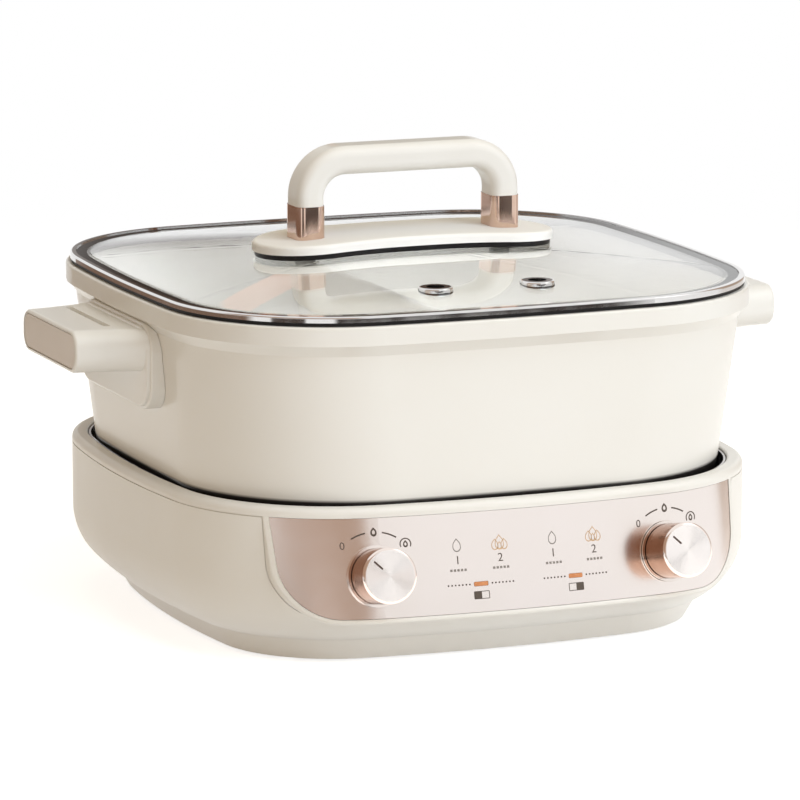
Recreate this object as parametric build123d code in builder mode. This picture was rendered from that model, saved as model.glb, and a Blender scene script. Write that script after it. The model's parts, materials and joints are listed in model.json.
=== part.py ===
"""Electric hot pot with a lift-off glass lid, in millimetres.

+Z is up, +X is the right-hand side and -Y is the front. The pot's own axis is the working
axis. At export every piece is moved along Y, so that the origin lies under the middle of
the whole object's bounding box, on the plane that its feet stand on.
"""

import math
import os

from build123d import *

# ---------------------------------------------------------------- housing of the base
base_half = 150.0            # half width of the housing, and half depth
side_bow = 600.0             # radius of its bowed sides
corner_round = 85.0          # radius of its corners in plan
shell_wall = 2.5
shell_foot = 12.5            # height of the shell's lower edge
shell_belly = 33.0           # radius that draws the wall in below
belly_drop = 3.0             # how far the belly's circle reaches below the lower edge
seam_height = 74.5           # parting line under the top ring
seam_gap = 0.5               # shadow groove along the parting line
seam_depth = 0.7
ring_height = 4.5
ring_width = 7.8
ring_round = 3.0
ring_inner_round = 1.0
skirt_length = 6.0
skirt_wall = 2.0
fit_gap = 0.2                # clearance between fitted moulded pieces

# ---------------------------------------------------------------- leaning front panel
panel_lean = 12.5            # degrees that the front leans out towards its foot
panel_top_half = 117.5
panel_foot_half = 114.5
panel_height = 45.8          # of the fascia, from the parting line down
panel_corner = 25.0
panel_reveal = 0.3           # how far the fascia sits below the frame
fascia_wall = 2.6
frame_width = 2.8
frame_depth = 8.0            # of the frame's back behind the housing's face
frame_ledge = 3.0            # seat behind the edge of the fascia
frame_round = 1.6

# ---------------------------------------------------------------- bottom cover and feet
cover_top_inset = 20.8
cover_foot_inset = 27.3
foot_height = 1.5            # free height under the cover
cover_wall = 2.7
cover_rim = 3.2
flange_wall = 2.5
flange_width = 22.0
foot_radius = 10.0
foot_recess = 1.0
foot_margin = 70.0           # of the feet's centres from the housing's sides
screw_radius = 1.8
screw_head_radius = 3.4
screw_head_height = 2.0
screw_post_radius = 5.5
screw_boss_height = 9.0
screw_length = 16.0
screw_corner_margin = 52.0   # of the corner screws from the housing's sides
screw_middle_margin = 36.0   # of the middle screws from its front and back
vent_slot_count = 9
vent_slot_pitch = 9.0
vent_slot_width = 3.0
vent_slot_length = 60.0
thread_gap = 0.1

# ---------------------------------------------------------------- knobs and switches
knob_margin = 43.5           # of each knob's centre from the fascia's upper corner
knob_drop = 26.5             # of its centre below the parting line
knob_splay = 4.0             # degrees that each knob turns outwards with the bowed front
knob_length = 20.2
knob_rim = 0.9               # polished bevel of the knob
cap_radius = 11.8
cap_wall = 0.9
cap_pocket = 0.8
pointer_angle = 136.0        # degrees, counter-clockwise from the dial's right
pointer_start = 5.0
pointer_end = 10.0
pointer_width = 1.0
pointer_depth = 0.4
bezel_radius = 14.4
bezel_wall = 1.1
bezel_rise = 2.0
bezel_sink = 1.5
bezel_floor = 1.5
knob_gap = 0.3
shaft_radius = 3.0
shaft_gap = 0.05
shaft_grip = 9.0             # length of shaft inside the knob
neck_radius = 4.6
neck_gap = 0.2
switch_width = 24.0
switch_depth = 12.0
switch_back = 4.2            # face of the switch behind the fascia's face
switch_round = 2.0
switch_pad_radius = 9.0      # seat for it on the fascia's back
shaft_seat = 2.0

# ---------------------------------------------------------------- indicators
indicator_spacing = 48.0
indicator_drop = 33.0         # below the parting line
indicator_width = 7.0
indicator_rise = 2.0         # height of the lens's face
indicator_depth = 7.0
indicator_round = 0.6
lens_gap = 0.1
board_width = 78.0
board_rise = 16.0
board_wall = 1.6
board_round = 2.0
board_post_radius = 2.5
board_post_edge = 6.0
board_post_end = 2.4         # depth of the posts' ends behind the fascia's face

# ---------------------------------------------------------------- pan and heaters
pan_gap = 0.5                # between the pan and the ring's inner edge
pan_wall = 1.0
pan_collar = 12.0            # straight upper part of its wall
pan_draw = 24.0              # how far it draws in down to its floor
pan_below_ring = 1.0
pan_post_radius = 6.0
pan_post_margin = 90.0       # of its posts from the housing's front and back
lead_hole_radius = 5.0
lead_hole_margin = 58.0
heater_side_margin = 32.0    # between a heater's outer edge and the housing's side
heater_end_margin = 55.0
heater_split = 28.0          # between the two heaters
heater_wall = 9.7
heater_corner = 26.0
heater_round = 1.0
heater_rise = 10.0           # underside of the heaters over the pan's floor
spacer_radius = 5.0
spacer_inset = 16.0
tube_radius = 3.5
tube_end_inset = 20.0        # of its ends from the heater's
tube_side_inset = 25.0
tube_gap = 0.15
cutout_radius = 8.0
cutout_height = 6.0

# ---------------------------------------------------------------- temperature sensor
holder_radius = 11.0
holder_wall = 1.5
holder_height = 13.0
sensor_radius = 9.2
sensor_height = 9.0
sensor_wall = 1.2
spring_radius = 6.0
spring_wire = 0.6
spring_turns = 4
rest_gap = 0.3               # between pieces that rest on one another

# ---------------------------------------------------------------- inlet at the back
inlet_height = 36.0
inlet_cavity_width = 25.0
inlet_cavity_rise = 17.0
inlet_cavity_depth = 16.0
inlet_round = 4.0
inlet_wall = 1.6
inlet_back_wall = 2.0
inlet_flange = 2.4
inlet_flange_wall = 1.5
inlet_pad_edge = 2.0
inlet_pad_wall = 12.0
pin_spacing = 14.0
pin_width = 2.0
pin_rise = 4.0
pin_length = 10.0
pin_tail = 3.0
earth_drop = 4.0
block_width = 46.0
block_depth = 18.0
block_height = 16.0
block_x = -20.0
block_margin = 52.0          # of its centre from the housing's back
block_ways = 5
block_slot = 4.0

# ---------------------------------------------------------------- pot
pot_floor_height = 58.0      # underside of the pot
pot_height = 106.5           # over its rim
pot_set_in = 0.3             # of its rim flange from the housing's side
pot_bow = 1160.0
pot_corner = 84.0
rim_height = 9.0
rim_step = 0.8
rim_taper_height = 5.5
wall_inset = 5.0             # from the rim's face to the wall's top
pot_taper = 4.85             # degrees that its wall draws in
pot_foot_corner = 88.0       # corner radius of the wall carried down to the underside
pot_belly = 24.0
pot_wall = 3.2
pot_floor_wall = 4.0
rim_round = 1.2
divider_wall = 4.0
divider_drop = 14.5          # below the rim
divider_end_rise = 8.0
divider_end_run = 34.0
divider_flat = 0.4

# ---------------------------------------------------------------- side handles
handle_half_length = 40.0
handle_height = 20.4
handle_drop = 13.2           # below the rim
handle_length = 34.0
handle_corner = 8.5
handle_round = 1.5
handle_flare = 8.5           # how much longer it is at its root, at each end
handle_flare_middle = 0.35   # share of the flare that is left at its middle
root_wall = 2.0              # flange at its root
root_edge = 1.5
root_round = 1.0
mount_half_length = 50.0
mount_drop = 11.0            # below the rim
mount_height = 41.5
mount_corner = 14.0
mount_set_in = 1.2           # of its face from the rim flange's
mount_round = 1.2
mount_room = 12.0
cap_edge = 1.6               # rim left round the end panel
cap_groove = 0.6
cap_depth = 1.3
cap_thickness = 1.0
groove_width = 3.4
groove_depth = 1.8
groove_start = 13.6          # of its middle from the handle's root
groove_half_length = 30.0
groove_shift = 3.0           # towards the back
boss_radius = 6.0
boss_gap = 0.3
boss_root = 1.0              # of the boss behind the screw's tip
boss_set_in = 0.9            # of its end from the mount's face
screw_offset = 24.0
long_screw_radius = 2.0
long_screw_head = 4.0
long_screw_head_height = 3.0
long_screw_floor = 8.7       # of the handle, under the screw's head
long_screw_bite = 5.0        # of the screw in its boss
pilot_depth = 5.6

# ---------------------------------------------------------------- lid
lid_set_in = 2.1             # of the lid's edge from the rim flange's
seal_wall = 0.7
seal_rise = 1.5
seal_inset = 0.4
seal_width = 8.0
seal_lip_wall = 1.4          # lip that hangs inside the pot's mouth
seal_lip_drop = 3.0
glass_wall = 3.2
glass_inset = 2.0
glass_land = 8.0
dome_rise = 9.0
rim_lip = 0.5
rim_width = 3.0
band_wall = 1.8
band_round = 1.0
vent_spacing = 52.0
vent_margin = 42.6           # of their centres from the lid's front edge
vent_flange_radius = 8.2
vent_flange_rise = 1.5
vent_back_radius = 7.6
vent_back_wall = 1.0
vent_round = 0.9
vent_barrel_radius = 6.0
vent_hole_radius = 4.5
vent_seat = 0.6
vent_gap = 0.15
plate_half_length = 77.0
plate_half_width = 28.0
plate_waist = 2.5            # how far the long sides are drawn in
plate_rise = 16.3            # of its top over the glass's flat edge
plate_camber = 1000.0         # radius of its crowned top
plate_round = 1.6
gasket_wall = 2.8
gasket_inset = 1.2
grip_spacing = 102.0
grip_thickness = 14.0
grip_depth = 20.0
grip_round = 5.0
grip_rise = 43.0             # over the plate's top
grip_bend = 18.0             # of the grip's centre line
ferrule_seat = 3.0           # depth of its seat in the plate
ferrule_length = 17.5
ferrule_wall = 2.0
ferrule_proud = 0.3
tenon_gap = 0.1
tenon_round = 3.0
lid_screw_radius = 2.4
lid_screw_head = 5.0
lid_screw_head_height = 3.0
lid_screw_bite = 12.0        # of the screw in the grip
washer_radius = 7.0
washer_wall = 1.5
curve_gap = 0.15             # between curved faces of neighbouring pieces

# ---------------------------------------------------------------- derived sizes
ring_top = seam_height + ring_height
panel_foot = seam_height - panel_height
knob_spacing = 2 * (panel_top_half - knob_margin)
knob_height = seam_height - knob_drop
indicator_height = seam_height - indicator_drop
foot_spacing = 2 * (base_half - foot_margin)
screw_corner = base_half - screw_corner_margin
screw_middle = base_half - screw_middle_margin
frame_foot = panel_foot - frame_width
lean_drop = seam_height - frame_foot + frame_width
lean_shift = lean_drop * math.tan(math.radians(panel_lean))
pan_half_inset = ring_width + pan_gap
pan_top = ring_top - pan_below_ring
pan_shoulder = pan_top - pan_collar
pan_floor_inset = pan_half_inset + pan_draw
heater_foot = pot_floor_height - rest_gap - heater_wall
pan_floor = heater_foot - heater_rise
heater_width = base_half - heater_side_margin - heater_split / 2
heater_length = 2 * (base_half - heater_end_margin)
heater_spacing = heater_width + heater_split
tube_run = heater_length - 2 * tube_end_inset
tube_span = heater_width - 2 * tube_side_inset
pan_post_y = base_half - pan_post_margin
lead_hole_y = base_half - lead_hole_margin
block_y = base_half - block_margin
pot_half = base_half - pot_set_in
pot_rim_height = pot_floor_height + pot_height
lid_half = pot_half - lid_set_in
seal_foot = pot_rim_height + rest_gap
glass_foot = seal_foot + seal_wall
glass_top = glass_foot + glass_wall
rim_foot = seal_foot + seal_rise
rim_top = glass_top + rim_lip
vent_y = vent_margin - lid_half
plate_top = glass_top + plate_rise
grip_top = plate_top + grip_rise
ferrule_foot = plate_top - ferrule_seat
ferrule_top = ferrule_foot + ferrule_length
lid_screw_tip = ferrule_foot + lid_screw_bite
divider_top = pot_rim_height - divider_drop
handle_top = pot_rim_height - handle_drop
handle_middle = handle_top - handle_height / 2
mount_top = pot_rim_height - mount_drop
mount_middle = mount_top - mount_height / 2
mount_face = pot_half - mount_set_in
boss_face = mount_face - boss_set_in
long_screw_tip = boss_face - long_screw_bite
wall_top = pot_rim_height - rim_height - rim_taper_height
pot_foot_inset = wall_inset + (wall_top - pot_floor_height) * math.tan(math.radians(pot_taper))
belly_foot = shell_foot - belly_drop
foot_inset = shell_belly - math.sqrt(shell_belly**2 - (belly_foot + shell_belly - shell_foot) ** 2)
cover_floor = foot_height + cover_wall
cover_slope = math.degrees(math.atan((cover_foot_inset - cover_top_inset) / (shell_foot - foot_height)))
rim_foot_height = pot_rim_height - rim_height
knob_radius = bezel_radius - bezel_wall - knob_gap
knob_foot = bezel_floor - bezel_sink + knob_gap
neck_rise = knob_foot - 2 * neck_gap
holder_floor = pan_floor + pan_wall + holder_wall
sensor_top = pot_floor_height - rest_gap
inlet_body_width = inlet_cavity_width + 2 * inlet_wall
inlet_body_rise = inlet_cavity_rise + 2 * inlet_wall
inlet_flange_width = inlet_body_width + 2 * inlet_flange
inlet_flange_height = inlet_body_rise + 2 * inlet_flange
inlet_pad_width = inlet_flange_width + 2 * inlet_pad_edge
inlet_pad_rise = inlet_flange_height + 2 * inlet_pad_edge
inlet_pad_face = base_half
inlet_face = inlet_pad_face + inlet_flange_wall
pin_places = [
    (-pin_spacing / 2, inlet_height),
    (pin_spacing / 2, inlet_height),
    (0, inlet_height - earth_drop),
]
ferrule_width = grip_thickness + 2 * ferrule_proud
ferrule_depth = grip_depth + 2 * ferrule_proud
dome_half = lid_half - glass_inset - glass_land
dome_bow = pot_bow - pot_half + dome_half
dome_corner = pot_corner - pot_half + dome_half
dome_shares = [1.0, 0.85, 0.68, 0.5, 0.3, 0.12]
vent_places = [(-vent_spacing / 2, vent_y), (vent_spacing / 2, vent_y)]
handle_root = mount_face
handle_reach = handle_root + handle_length
long_screw_seat = handle_root + long_screw_floor
boss_places = [(-screw_offset, handle_middle), (screw_offset, handle_middle)]
boss_length = boss_face - long_screw_tip + boss_root
groove_place = handle_root + groove_start
pan_posts = [(x * heater_spacing / 2, y * pan_post_y) for x in (-1, 1) for y in (-1, 1)]
lead_holes = [(x * heater_spacing / 2, -lead_hole_y) for x in (-1, 1)]
screw_places = [(x * screw_corner, y * screw_corner) for x in (-1, 1) for y in (-1, 1)]
screw_places += [(0, -screw_middle), (0, screw_middle)]
tiny = 0.01


def bowed_outline(half_x, half_y, bow, corner):
    """Fill the open sketch with a rectangle that has bowed sides and round corners."""
    side_centre = Vector(half_x - bow, 0)
    end_centre = Vector(0, half_y - bow)
    span = end_centre - side_centre
    rise = math.sqrt((bow - corner) ** 2 - (span.length / 2) ** 2)
    centre = (side_centre + end_centre) * 0.5 + Vector(-span.Y, span.X).normalized() * rise
    side_way = (centre - side_centre).normalized()
    end_way = (centre - end_centre).normalized()
    side = side_centre + side_way * bow
    end = end_centre + end_way * bow
    tip = centre + (side_way + end_way).normalized() * corner
    with BuildLine() as outline:
        for s in (1, -1):
            ThreePointArc((s * side.X, -side.Y), (s * half_x, 0), (s * side.X, side.Y))
            ThreePointArc((-end.X, s * end.Y), (0, s * half_y), (end.X, s * end.Y))
            for t in (1, -1):
                ThreePointArc((s * side.X, t * side.Y), (s * tip.X, t * tip.Y), (s * end.X, t * end.Y))
    make_face(outline.edges())


def base_outline(inset):
    """The housing's outline in plan, drawn in all round by the inset."""
    half = base_half - inset
    bowed_outline(half, half, side_bow - inset, corner_round - inset)


def pot_outline(inset):
    """The pot flange's outline in plan, drawn in all round by the inset."""
    half = pot_half - inset
    bowed_outline(half, half, pot_bow - inset, pot_corner - inset)


def pot_foot_outline(inset):
    """The pot wall's outline carried down to the underside, drawn in by the inset."""
    half = pot_half - pot_foot_inset - inset
    bowed_outline(half, half, pot_bow - pot_half + half, pot_foot_corner - inset)


def lid_outline(inset):
    """The lid's outline in plan: the pot's own, drawn in to the lid's edge and then the inset."""
    pot_outline(pot_half - lid_half + inset)


def outline_reach(x, half, bow, corner):
    """Distance of a square bowed outline's front edge from its centre, at the given x."""
    slack = bow - half
    reach = bow - corner
    centre = (math.sqrt(2 * reach**2 - slack**2) - slack) / 2
    if abs(x) < bow * centre / reach:
        return math.sqrt(bow**2 - x**2) - slack
    return centre + math.sqrt(corner**2 - (abs(x) - centre) ** 2)


def front_y(x, z, inset=0):
    """Y of the leaning front face at the given x and height, drawn in by the inset."""
    lean = (seam_height - z) * math.tan(math.radians(panel_lean))
    return -outline_reach(x, base_half - inset, side_bow - inset, corner_round - inset) - lean


def on_front(edge):
    """Whether an edge runs round the leaning front face, below the top ring."""
    ends = edge @ 0, edge @ 1
    if abs(ends[0].X - ends[1].X) < tiny:
        return False
    spots = [edge @ share for share in (0.2, 0.5, 0.8)]
    return all(abs(spot.Y - front_y(spot.X, spot.Z)) < tiny and spot.Z < seam_height - tiny for spot in spots)


def front_outline(growth):
    """Fill the open XZ sketch with the fascia's U-shaped outline, grown by the given width."""
    foot = panel_foot - growth
    top = seam_height - fit_gap + growth
    with BuildLine() as outline:
        Polyline(
            (-panel_top_half - growth, top),
            (-panel_foot_half - growth, foot),
            (panel_foot_half + growth, foot),
            (panel_top_half + growth, top),
            close=True,
        )
    make_face(outline.edges())
    fillet(vertices().group_by(Axis.Y)[0], panel_corner + growth)


def front_layer(near, far, growth):
    """Solid between two leaning faces at the given insets, inside the grown front outline."""
    with BuildPart() as layer:
        for inset, mode in ((near, Mode.ADD), (far, Mode.SUBTRACT)):
            with BuildSketch(Plane.XY.offset(seam_height)):
                base_outline(inset)
            with BuildSketch(Plane((0, -lean_shift, seam_height - lean_drop))):
                base_outline(inset)
            loft(ruled=True, mode=mode)
        with BuildSketch(Plane.XZ):
            front_outline(growth)
        extrude(amount=2 * base_half, mode=Mode.INTERSECT)
    return layer.part


def knob_plane(side):
    """Plane on the front face at one knob: its X runs along the dial, its Z out of the panel."""
    lean, splay = math.radians(panel_lean), math.radians(knob_splay)
    x = side * knob_spacing / 2
    out = (side * math.sin(splay) * math.cos(lean), -math.cos(splay) * math.cos(lean), math.sin(lean))
    along = (math.cos(splay), side * math.sin(splay), 0)
    return Plane(origin=(x, front_y(x, knob_height, panel_reveal), knob_height), x_dir=along, z_dir=out)


def panel_plane(x, z):
    """Plane across the panel's middle, facing out of it and touching its face at the given x."""
    lean = math.radians(panel_lean)
    origin = (0, front_y(x, z, panel_reveal), z)
    return Plane(origin=origin, x_dir=(1, 0, 0), z_dir=(0, -math.cos(lean), math.sin(lean)))


def side_name(side):
    return "left" if side < 0 else "right"


def outward(plane):
    """Axis along a plane's normal."""
    return Axis(plane.origin, plane.z_dir)


def handle_plane(side, x):
    """Plane across one side handle at the given distance out, facing away from the pot."""
    return Plane(origin=(side * x, 0, 0), x_dir=(0, side, 0), z_dir=(side, 0, 0))


def handle_bar(side):
    """Solid of one side handle's bar, which flares along its length down to its root."""
    root, middle, end = (side * (handle_root + handle_length * share) for share in (0, 0.5, 1))
    halves = [handle_half_length + handle_flare * share for share in (1, handle_flare_middle, 0)]
    with BuildPart() as bar:
        with BuildSketch(Plane.XY.offset(handle_top)):
            with BuildLine() as outline:
                ThreePointArc((root, halves[0]), (middle, halves[1]), (end, halves[2]))
                Line((end, halves[2]), (end, -halves[2]))
                ThreePointArc((end, -halves[2]), (middle, -halves[1]), (root, -halves[0]))
                Line((root, -halves[0]), (root, halves[0]))
            make_face(outline.edges())
        extrude(amount=-handle_height)
        flanks = edges().filter_by(GeomType.CIRCLE)
        fillet(flanks, handle_corner)
        fillet(faces().sort_by(outward(handle_plane(side, 0)))[-1].edges(), handle_round)
        with BuildSketch(Plane.XY.offset(handle_top)):
            with Locations((side * groove_place, groove_shift)):
                SlotOverall(2 * groove_half_length, groove_width, rotation=90)
        extrude(amount=-groove_depth, mode=Mode.SUBTRACT)
    return bar.part


def dome_share(x, y):
    """How far out a point of the lid lies: 0 in the middle, 1 at the dome's edge."""
    share = max(abs(x), abs(y)) / dome_half
    for _ in range(4):
        share = abs(y) / outline_reach(x / share, dome_half, dome_bow, dome_corner)
    return share


def dome_height(share):
    """Height of the dome over the glass's flat edge."""
    return dome_rise * (1 - share**2)


def lid_dome(foot):
    """Solid under the dome's surface, standing at the given height."""
    with BuildPart() as dome:
        for share in dome_shares:
            with BuildSketch(Plane.XY.offset(foot + dome_height(share))):
                half = dome_half * share
                bowed_outline(half, half, dome_bow * share, dome_corner * share)
        loft()
    return dome.part


def plate_outline(inset):
    """Fill the open sketch with the grip plate's waisted oval, drawn in by the inset."""
    end = plate_half_width - inset
    centre = plate_half_length - plate_half_width
    waist = end - plate_waist
    bow = (centre**2 + waist**2 - end**2) / (2 * (end - waist))
    way = Vector(-centre, waist + bow).normalized()
    join = Vector(centre, 0) + way * end
    with BuildLine() as outline:
        for s in (1, -1):
            ThreePointArc((-join.X, s * join.Y), (0, s * waist), (join.X, s * join.Y))
            ThreePointArc((s * join.X, -join.Y), (s * (centre + end), 0), (s * join.X, join.Y))
    make_face(outline.edges())


def pot_form(growth):
    """Solid of the pot's outer form, grown by the given clearance."""
    with BuildPart() as form:
        with BuildSketch(Plane.XY.offset(pot_floor_height)):
            pot_foot_outline(-growth)
        with BuildSketch(Plane.XY.offset(wall_top)):
            pot_outline(wall_inset - growth)
        loft(ruled=True)
        fillet(faces().sort_by(Axis.Z)[0].edges(), pot_belly)
        with BuildSketch(Plane.XY.offset(wall_top)):
            pot_outline(wall_inset - growth)
        with BuildSketch(Plane.XY.offset(rim_foot_height)):
            pot_outline(rim_step - growth)
        loft(ruled=True)
        with BuildSketch(Plane.XY.offset(rim_foot_height)):
            pot_outline(-growth)
        extrude(amount=rim_height)
    return form.part


pieces = {}


def keep(name, part):
    """File a finished piece under its name."""
    part.label = name
    pieces[name] = part


# ================================================================ housing of the base
with BuildPart() as belly_room:
    with BuildSketch(Plane.XY.offset(belly_foot + shell_wall)):
        base_outline(shell_wall)
    extrude(amount=seam_height)
    fillet(faces().sort_by(Axis.Z)[0].edges(), shell_belly - shell_wall)

frame_room = front_layer(-base_half / 2, base_half / 2, frame_width + fit_gap)

with BuildPart() as side_shell:
    with BuildSketch(Plane.XY.offset(belly_foot)):
        base_outline(0)
    extrude(amount=seam_height - belly_foot)
    fillet(faces().sort_by(Axis.Z)[0].edges(), shell_belly)
    add(belly_room.part, mode=Mode.SUBTRACT)
    split(bisect_by=Plane.XY.offset(shell_foot), keep=Keep.TOP)
    with BuildSketch(Plane.XY.offset(shell_foot)):
        base_outline(foot_inset + fit_gap)
        with BuildSketch(mode=Mode.SUBTRACT):
            base_outline(foot_inset + flange_width)
    extrude(amount=flange_wall)
    with BuildSketch(Plane.XY.offset(shell_foot)):
        with Locations(*screw_places):
            Circle(screw_post_radius)
    extrude(amount=flange_wall + screw_boss_height)
    with BuildSketch(Plane.XY.offset(shell_foot)):
        with Locations(*screw_places):
            Circle(screw_radius + thread_gap)
    extrude(amount=screw_length, mode=Mode.SUBTRACT)
    add(frame_room, mode=Mode.SUBTRACT)
    with BuildSketch(Plane.XY.offset(seam_height - seam_gap)):
        base_outline(-seam_depth)
        with BuildSketch(mode=Mode.SUBTRACT):
            base_outline(seam_depth)
    extrude(amount=seam_gap, mode=Mode.SUBTRACT)
    with BuildSketch(Plane.XZ.offset(-inlet_pad_face)):
        with Locations((0, inlet_height)):
            RectangleRounded(inlet_pad_width, inlet_pad_rise, inlet_round + inlet_pad_edge)
    extrude(amount=inlet_pad_wall)
    with BuildSketch(Plane.XZ.offset(-inlet_pad_face)):
        with Locations((0, inlet_height)):
            RectangleRounded(inlet_body_width + fit_gap, inlet_body_rise + fit_gap, inlet_round)
    extrude(amount=2 * inlet_pad_wall, both=True, mode=Mode.SUBTRACT)
keep("side_shell", side_shell.part)

with BuildPart() as bottom_cover:
    with BuildSketch(Plane.XY.offset(foot_height)):
        base_outline(cover_foot_inset)
    extrude(amount=shell_foot - foot_height, taper=-cover_slope)
    with BuildSketch(Plane.XY.offset(shell_foot)):
        base_outline(cover_top_inset + cover_rim)
    extrude(amount=cover_floor - shell_foot, taper=cover_slope, mode=Mode.SUBTRACT)
    with BuildSketch(Plane.XY.offset(cover_floor)):
        with Locations(*screw_places):
            Circle(screw_post_radius)
    extrude(amount=shell_foot - cover_floor)
    with BuildSketch(Plane.XY.offset(cover_floor)):
        with Locations(*pan_posts):
            Circle(pan_post_radius)
    extrude(amount=pan_floor - cover_floor)
    with BuildSketch(Plane.XY.offset(foot_height)):
        with Locations(*screw_places):
            Circle(screw_radius + fit_gap)
        with Locations((0, 0)):
            with GridLocations(vent_slot_pitch, 1, vent_slot_count, 1):
                SlotOverall(vent_slot_length, vent_slot_width, rotation=90)
    extrude(amount=shell_foot, mode=Mode.SUBTRACT)
    with BuildSketch(Plane.XY.offset(foot_height)):
        with Locations(*screw_places):
            Circle(screw_head_radius + fit_gap)
    extrude(amount=screw_head_height + fit_gap, mode=Mode.SUBTRACT)
    with BuildSketch(Plane.XY.offset(foot_height)):
        with GridLocations(foot_spacing, foot_spacing, 2, 2):
            Circle(foot_radius + fit_gap)
    extrude(amount=foot_recess, mode=Mode.SUBTRACT)
keep("bottom_cover", bottom_cover.part)

with BuildPart() as rubber_feet:
    with BuildSketch():
        with GridLocations(foot_spacing, foot_spacing, 2, 2):
            Circle(foot_radius)
    extrude(amount=foot_height + foot_recess)
    chamfer(faces().group_by(Axis.Z)[0].edges(), foot_height / 3)
keep("rubber_feet", rubber_feet.part)

with BuildPart() as base_screws:
    with BuildSketch(Plane.XY.offset(foot_height + fit_gap)):
        with Locations(*screw_places):
            Circle(screw_head_radius)
    extrude(amount=screw_head_height)
    with BuildSketch(Plane.XY.offset(foot_height + fit_gap)):
        with Locations(*screw_places):
            Circle(screw_radius)
    extrude(amount=screw_head_height + screw_length)
keep("base_screws", base_screws.part)

# ================================================================ top ring and front frame
with BuildPart() as frame:
    add(front_layer(0, base_half / 2, frame_width))
    with BuildSketch():
        base_outline(frame_depth)
    extrude(amount=seam_height, mode=Mode.SUBTRACT)
    outer_edges = edges().filter_by(on_front)
    fillet(outer_edges, frame_round)

with BuildPart() as top_ring:
    with BuildSketch(Plane.XY.offset(seam_height)):
        base_outline(0)
    extrude(amount=ring_height)
    top_edges = faces().sort_by(Axis.Z)[-1].edges()
    fillet(top_edges, ring_round)
    with BuildSketch(Plane.XY.offset(seam_height - skirt_length)):
        base_outline(shell_wall + fit_gap)
    extrude(amount=skirt_length)
    with BuildSketch(Plane.XY.offset(seam_height - skirt_length)):
        base_outline(shell_wall + fit_gap + skirt_wall)
    extrude(amount=skirt_length, mode=Mode.SUBTRACT)
    with BuildSketch(Plane.XY.offset(seam_height)):
        base_outline(ring_width)
    extrude(amount=ring_height, mode=Mode.SUBTRACT)
    inner_edges = faces().sort_by(Axis.Z)[-1].inner_wires()[0].edges()
    fillet(inner_edges, ring_inner_round)
    add(frame.part)
    add(front_layer(-base_half / 2, panel_reveal + fascia_wall + fit_gap, fit_gap), mode=Mode.SUBTRACT)
    add(front_layer(-base_half / 2, base_half / 2, -frame_ledge), mode=Mode.SUBTRACT)
keep("top_ring", top_ring.part)

lens_face = panel_plane(indicator_spacing / 2, indicator_height)
board_face = lens_face.offset(-indicator_depth - lens_gap)
with BuildPart() as front_fascia:
    add(front_layer(panel_reveal, panel_reveal + fascia_wall, 0))
    with BuildSketch(lens_face):
        with GridLocations(indicator_spacing, 1, 2, 1):
            RectangleRounded(indicator_width + 2 * lens_gap, indicator_rise + 2 * lens_gap, indicator_round)
    extrude(amount=indicator_depth, both=True, mode=Mode.SUBTRACT)
    with BuildSketch(board_face):
        with GridLocations(board_width - 2 * board_post_edge, 1, 2, 1):
            Circle(board_post_radius)
    extrude(amount=indicator_depth + lens_gap - board_post_end)
    for side in (-1, 1):
        with BuildSketch(knob_plane(side).offset(-switch_back)):
            Circle(switch_pad_radius)
        extrude(amount=switch_back - bezel_sink)
        with BuildSketch(knob_plane(side)):
            Circle(neck_radius + neck_gap)
        extrude(amount=2 * switch_back, both=True, mode=Mode.SUBTRACT)
        with BuildSketch(knob_plane(side).offset(-bezel_sink - tiny)):
            Circle(bezel_radius + fit_gap)
        extrude(amount=2 * bezel_sink, mode=Mode.SUBTRACT)
keep("front_fascia", front_fascia.part)

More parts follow.
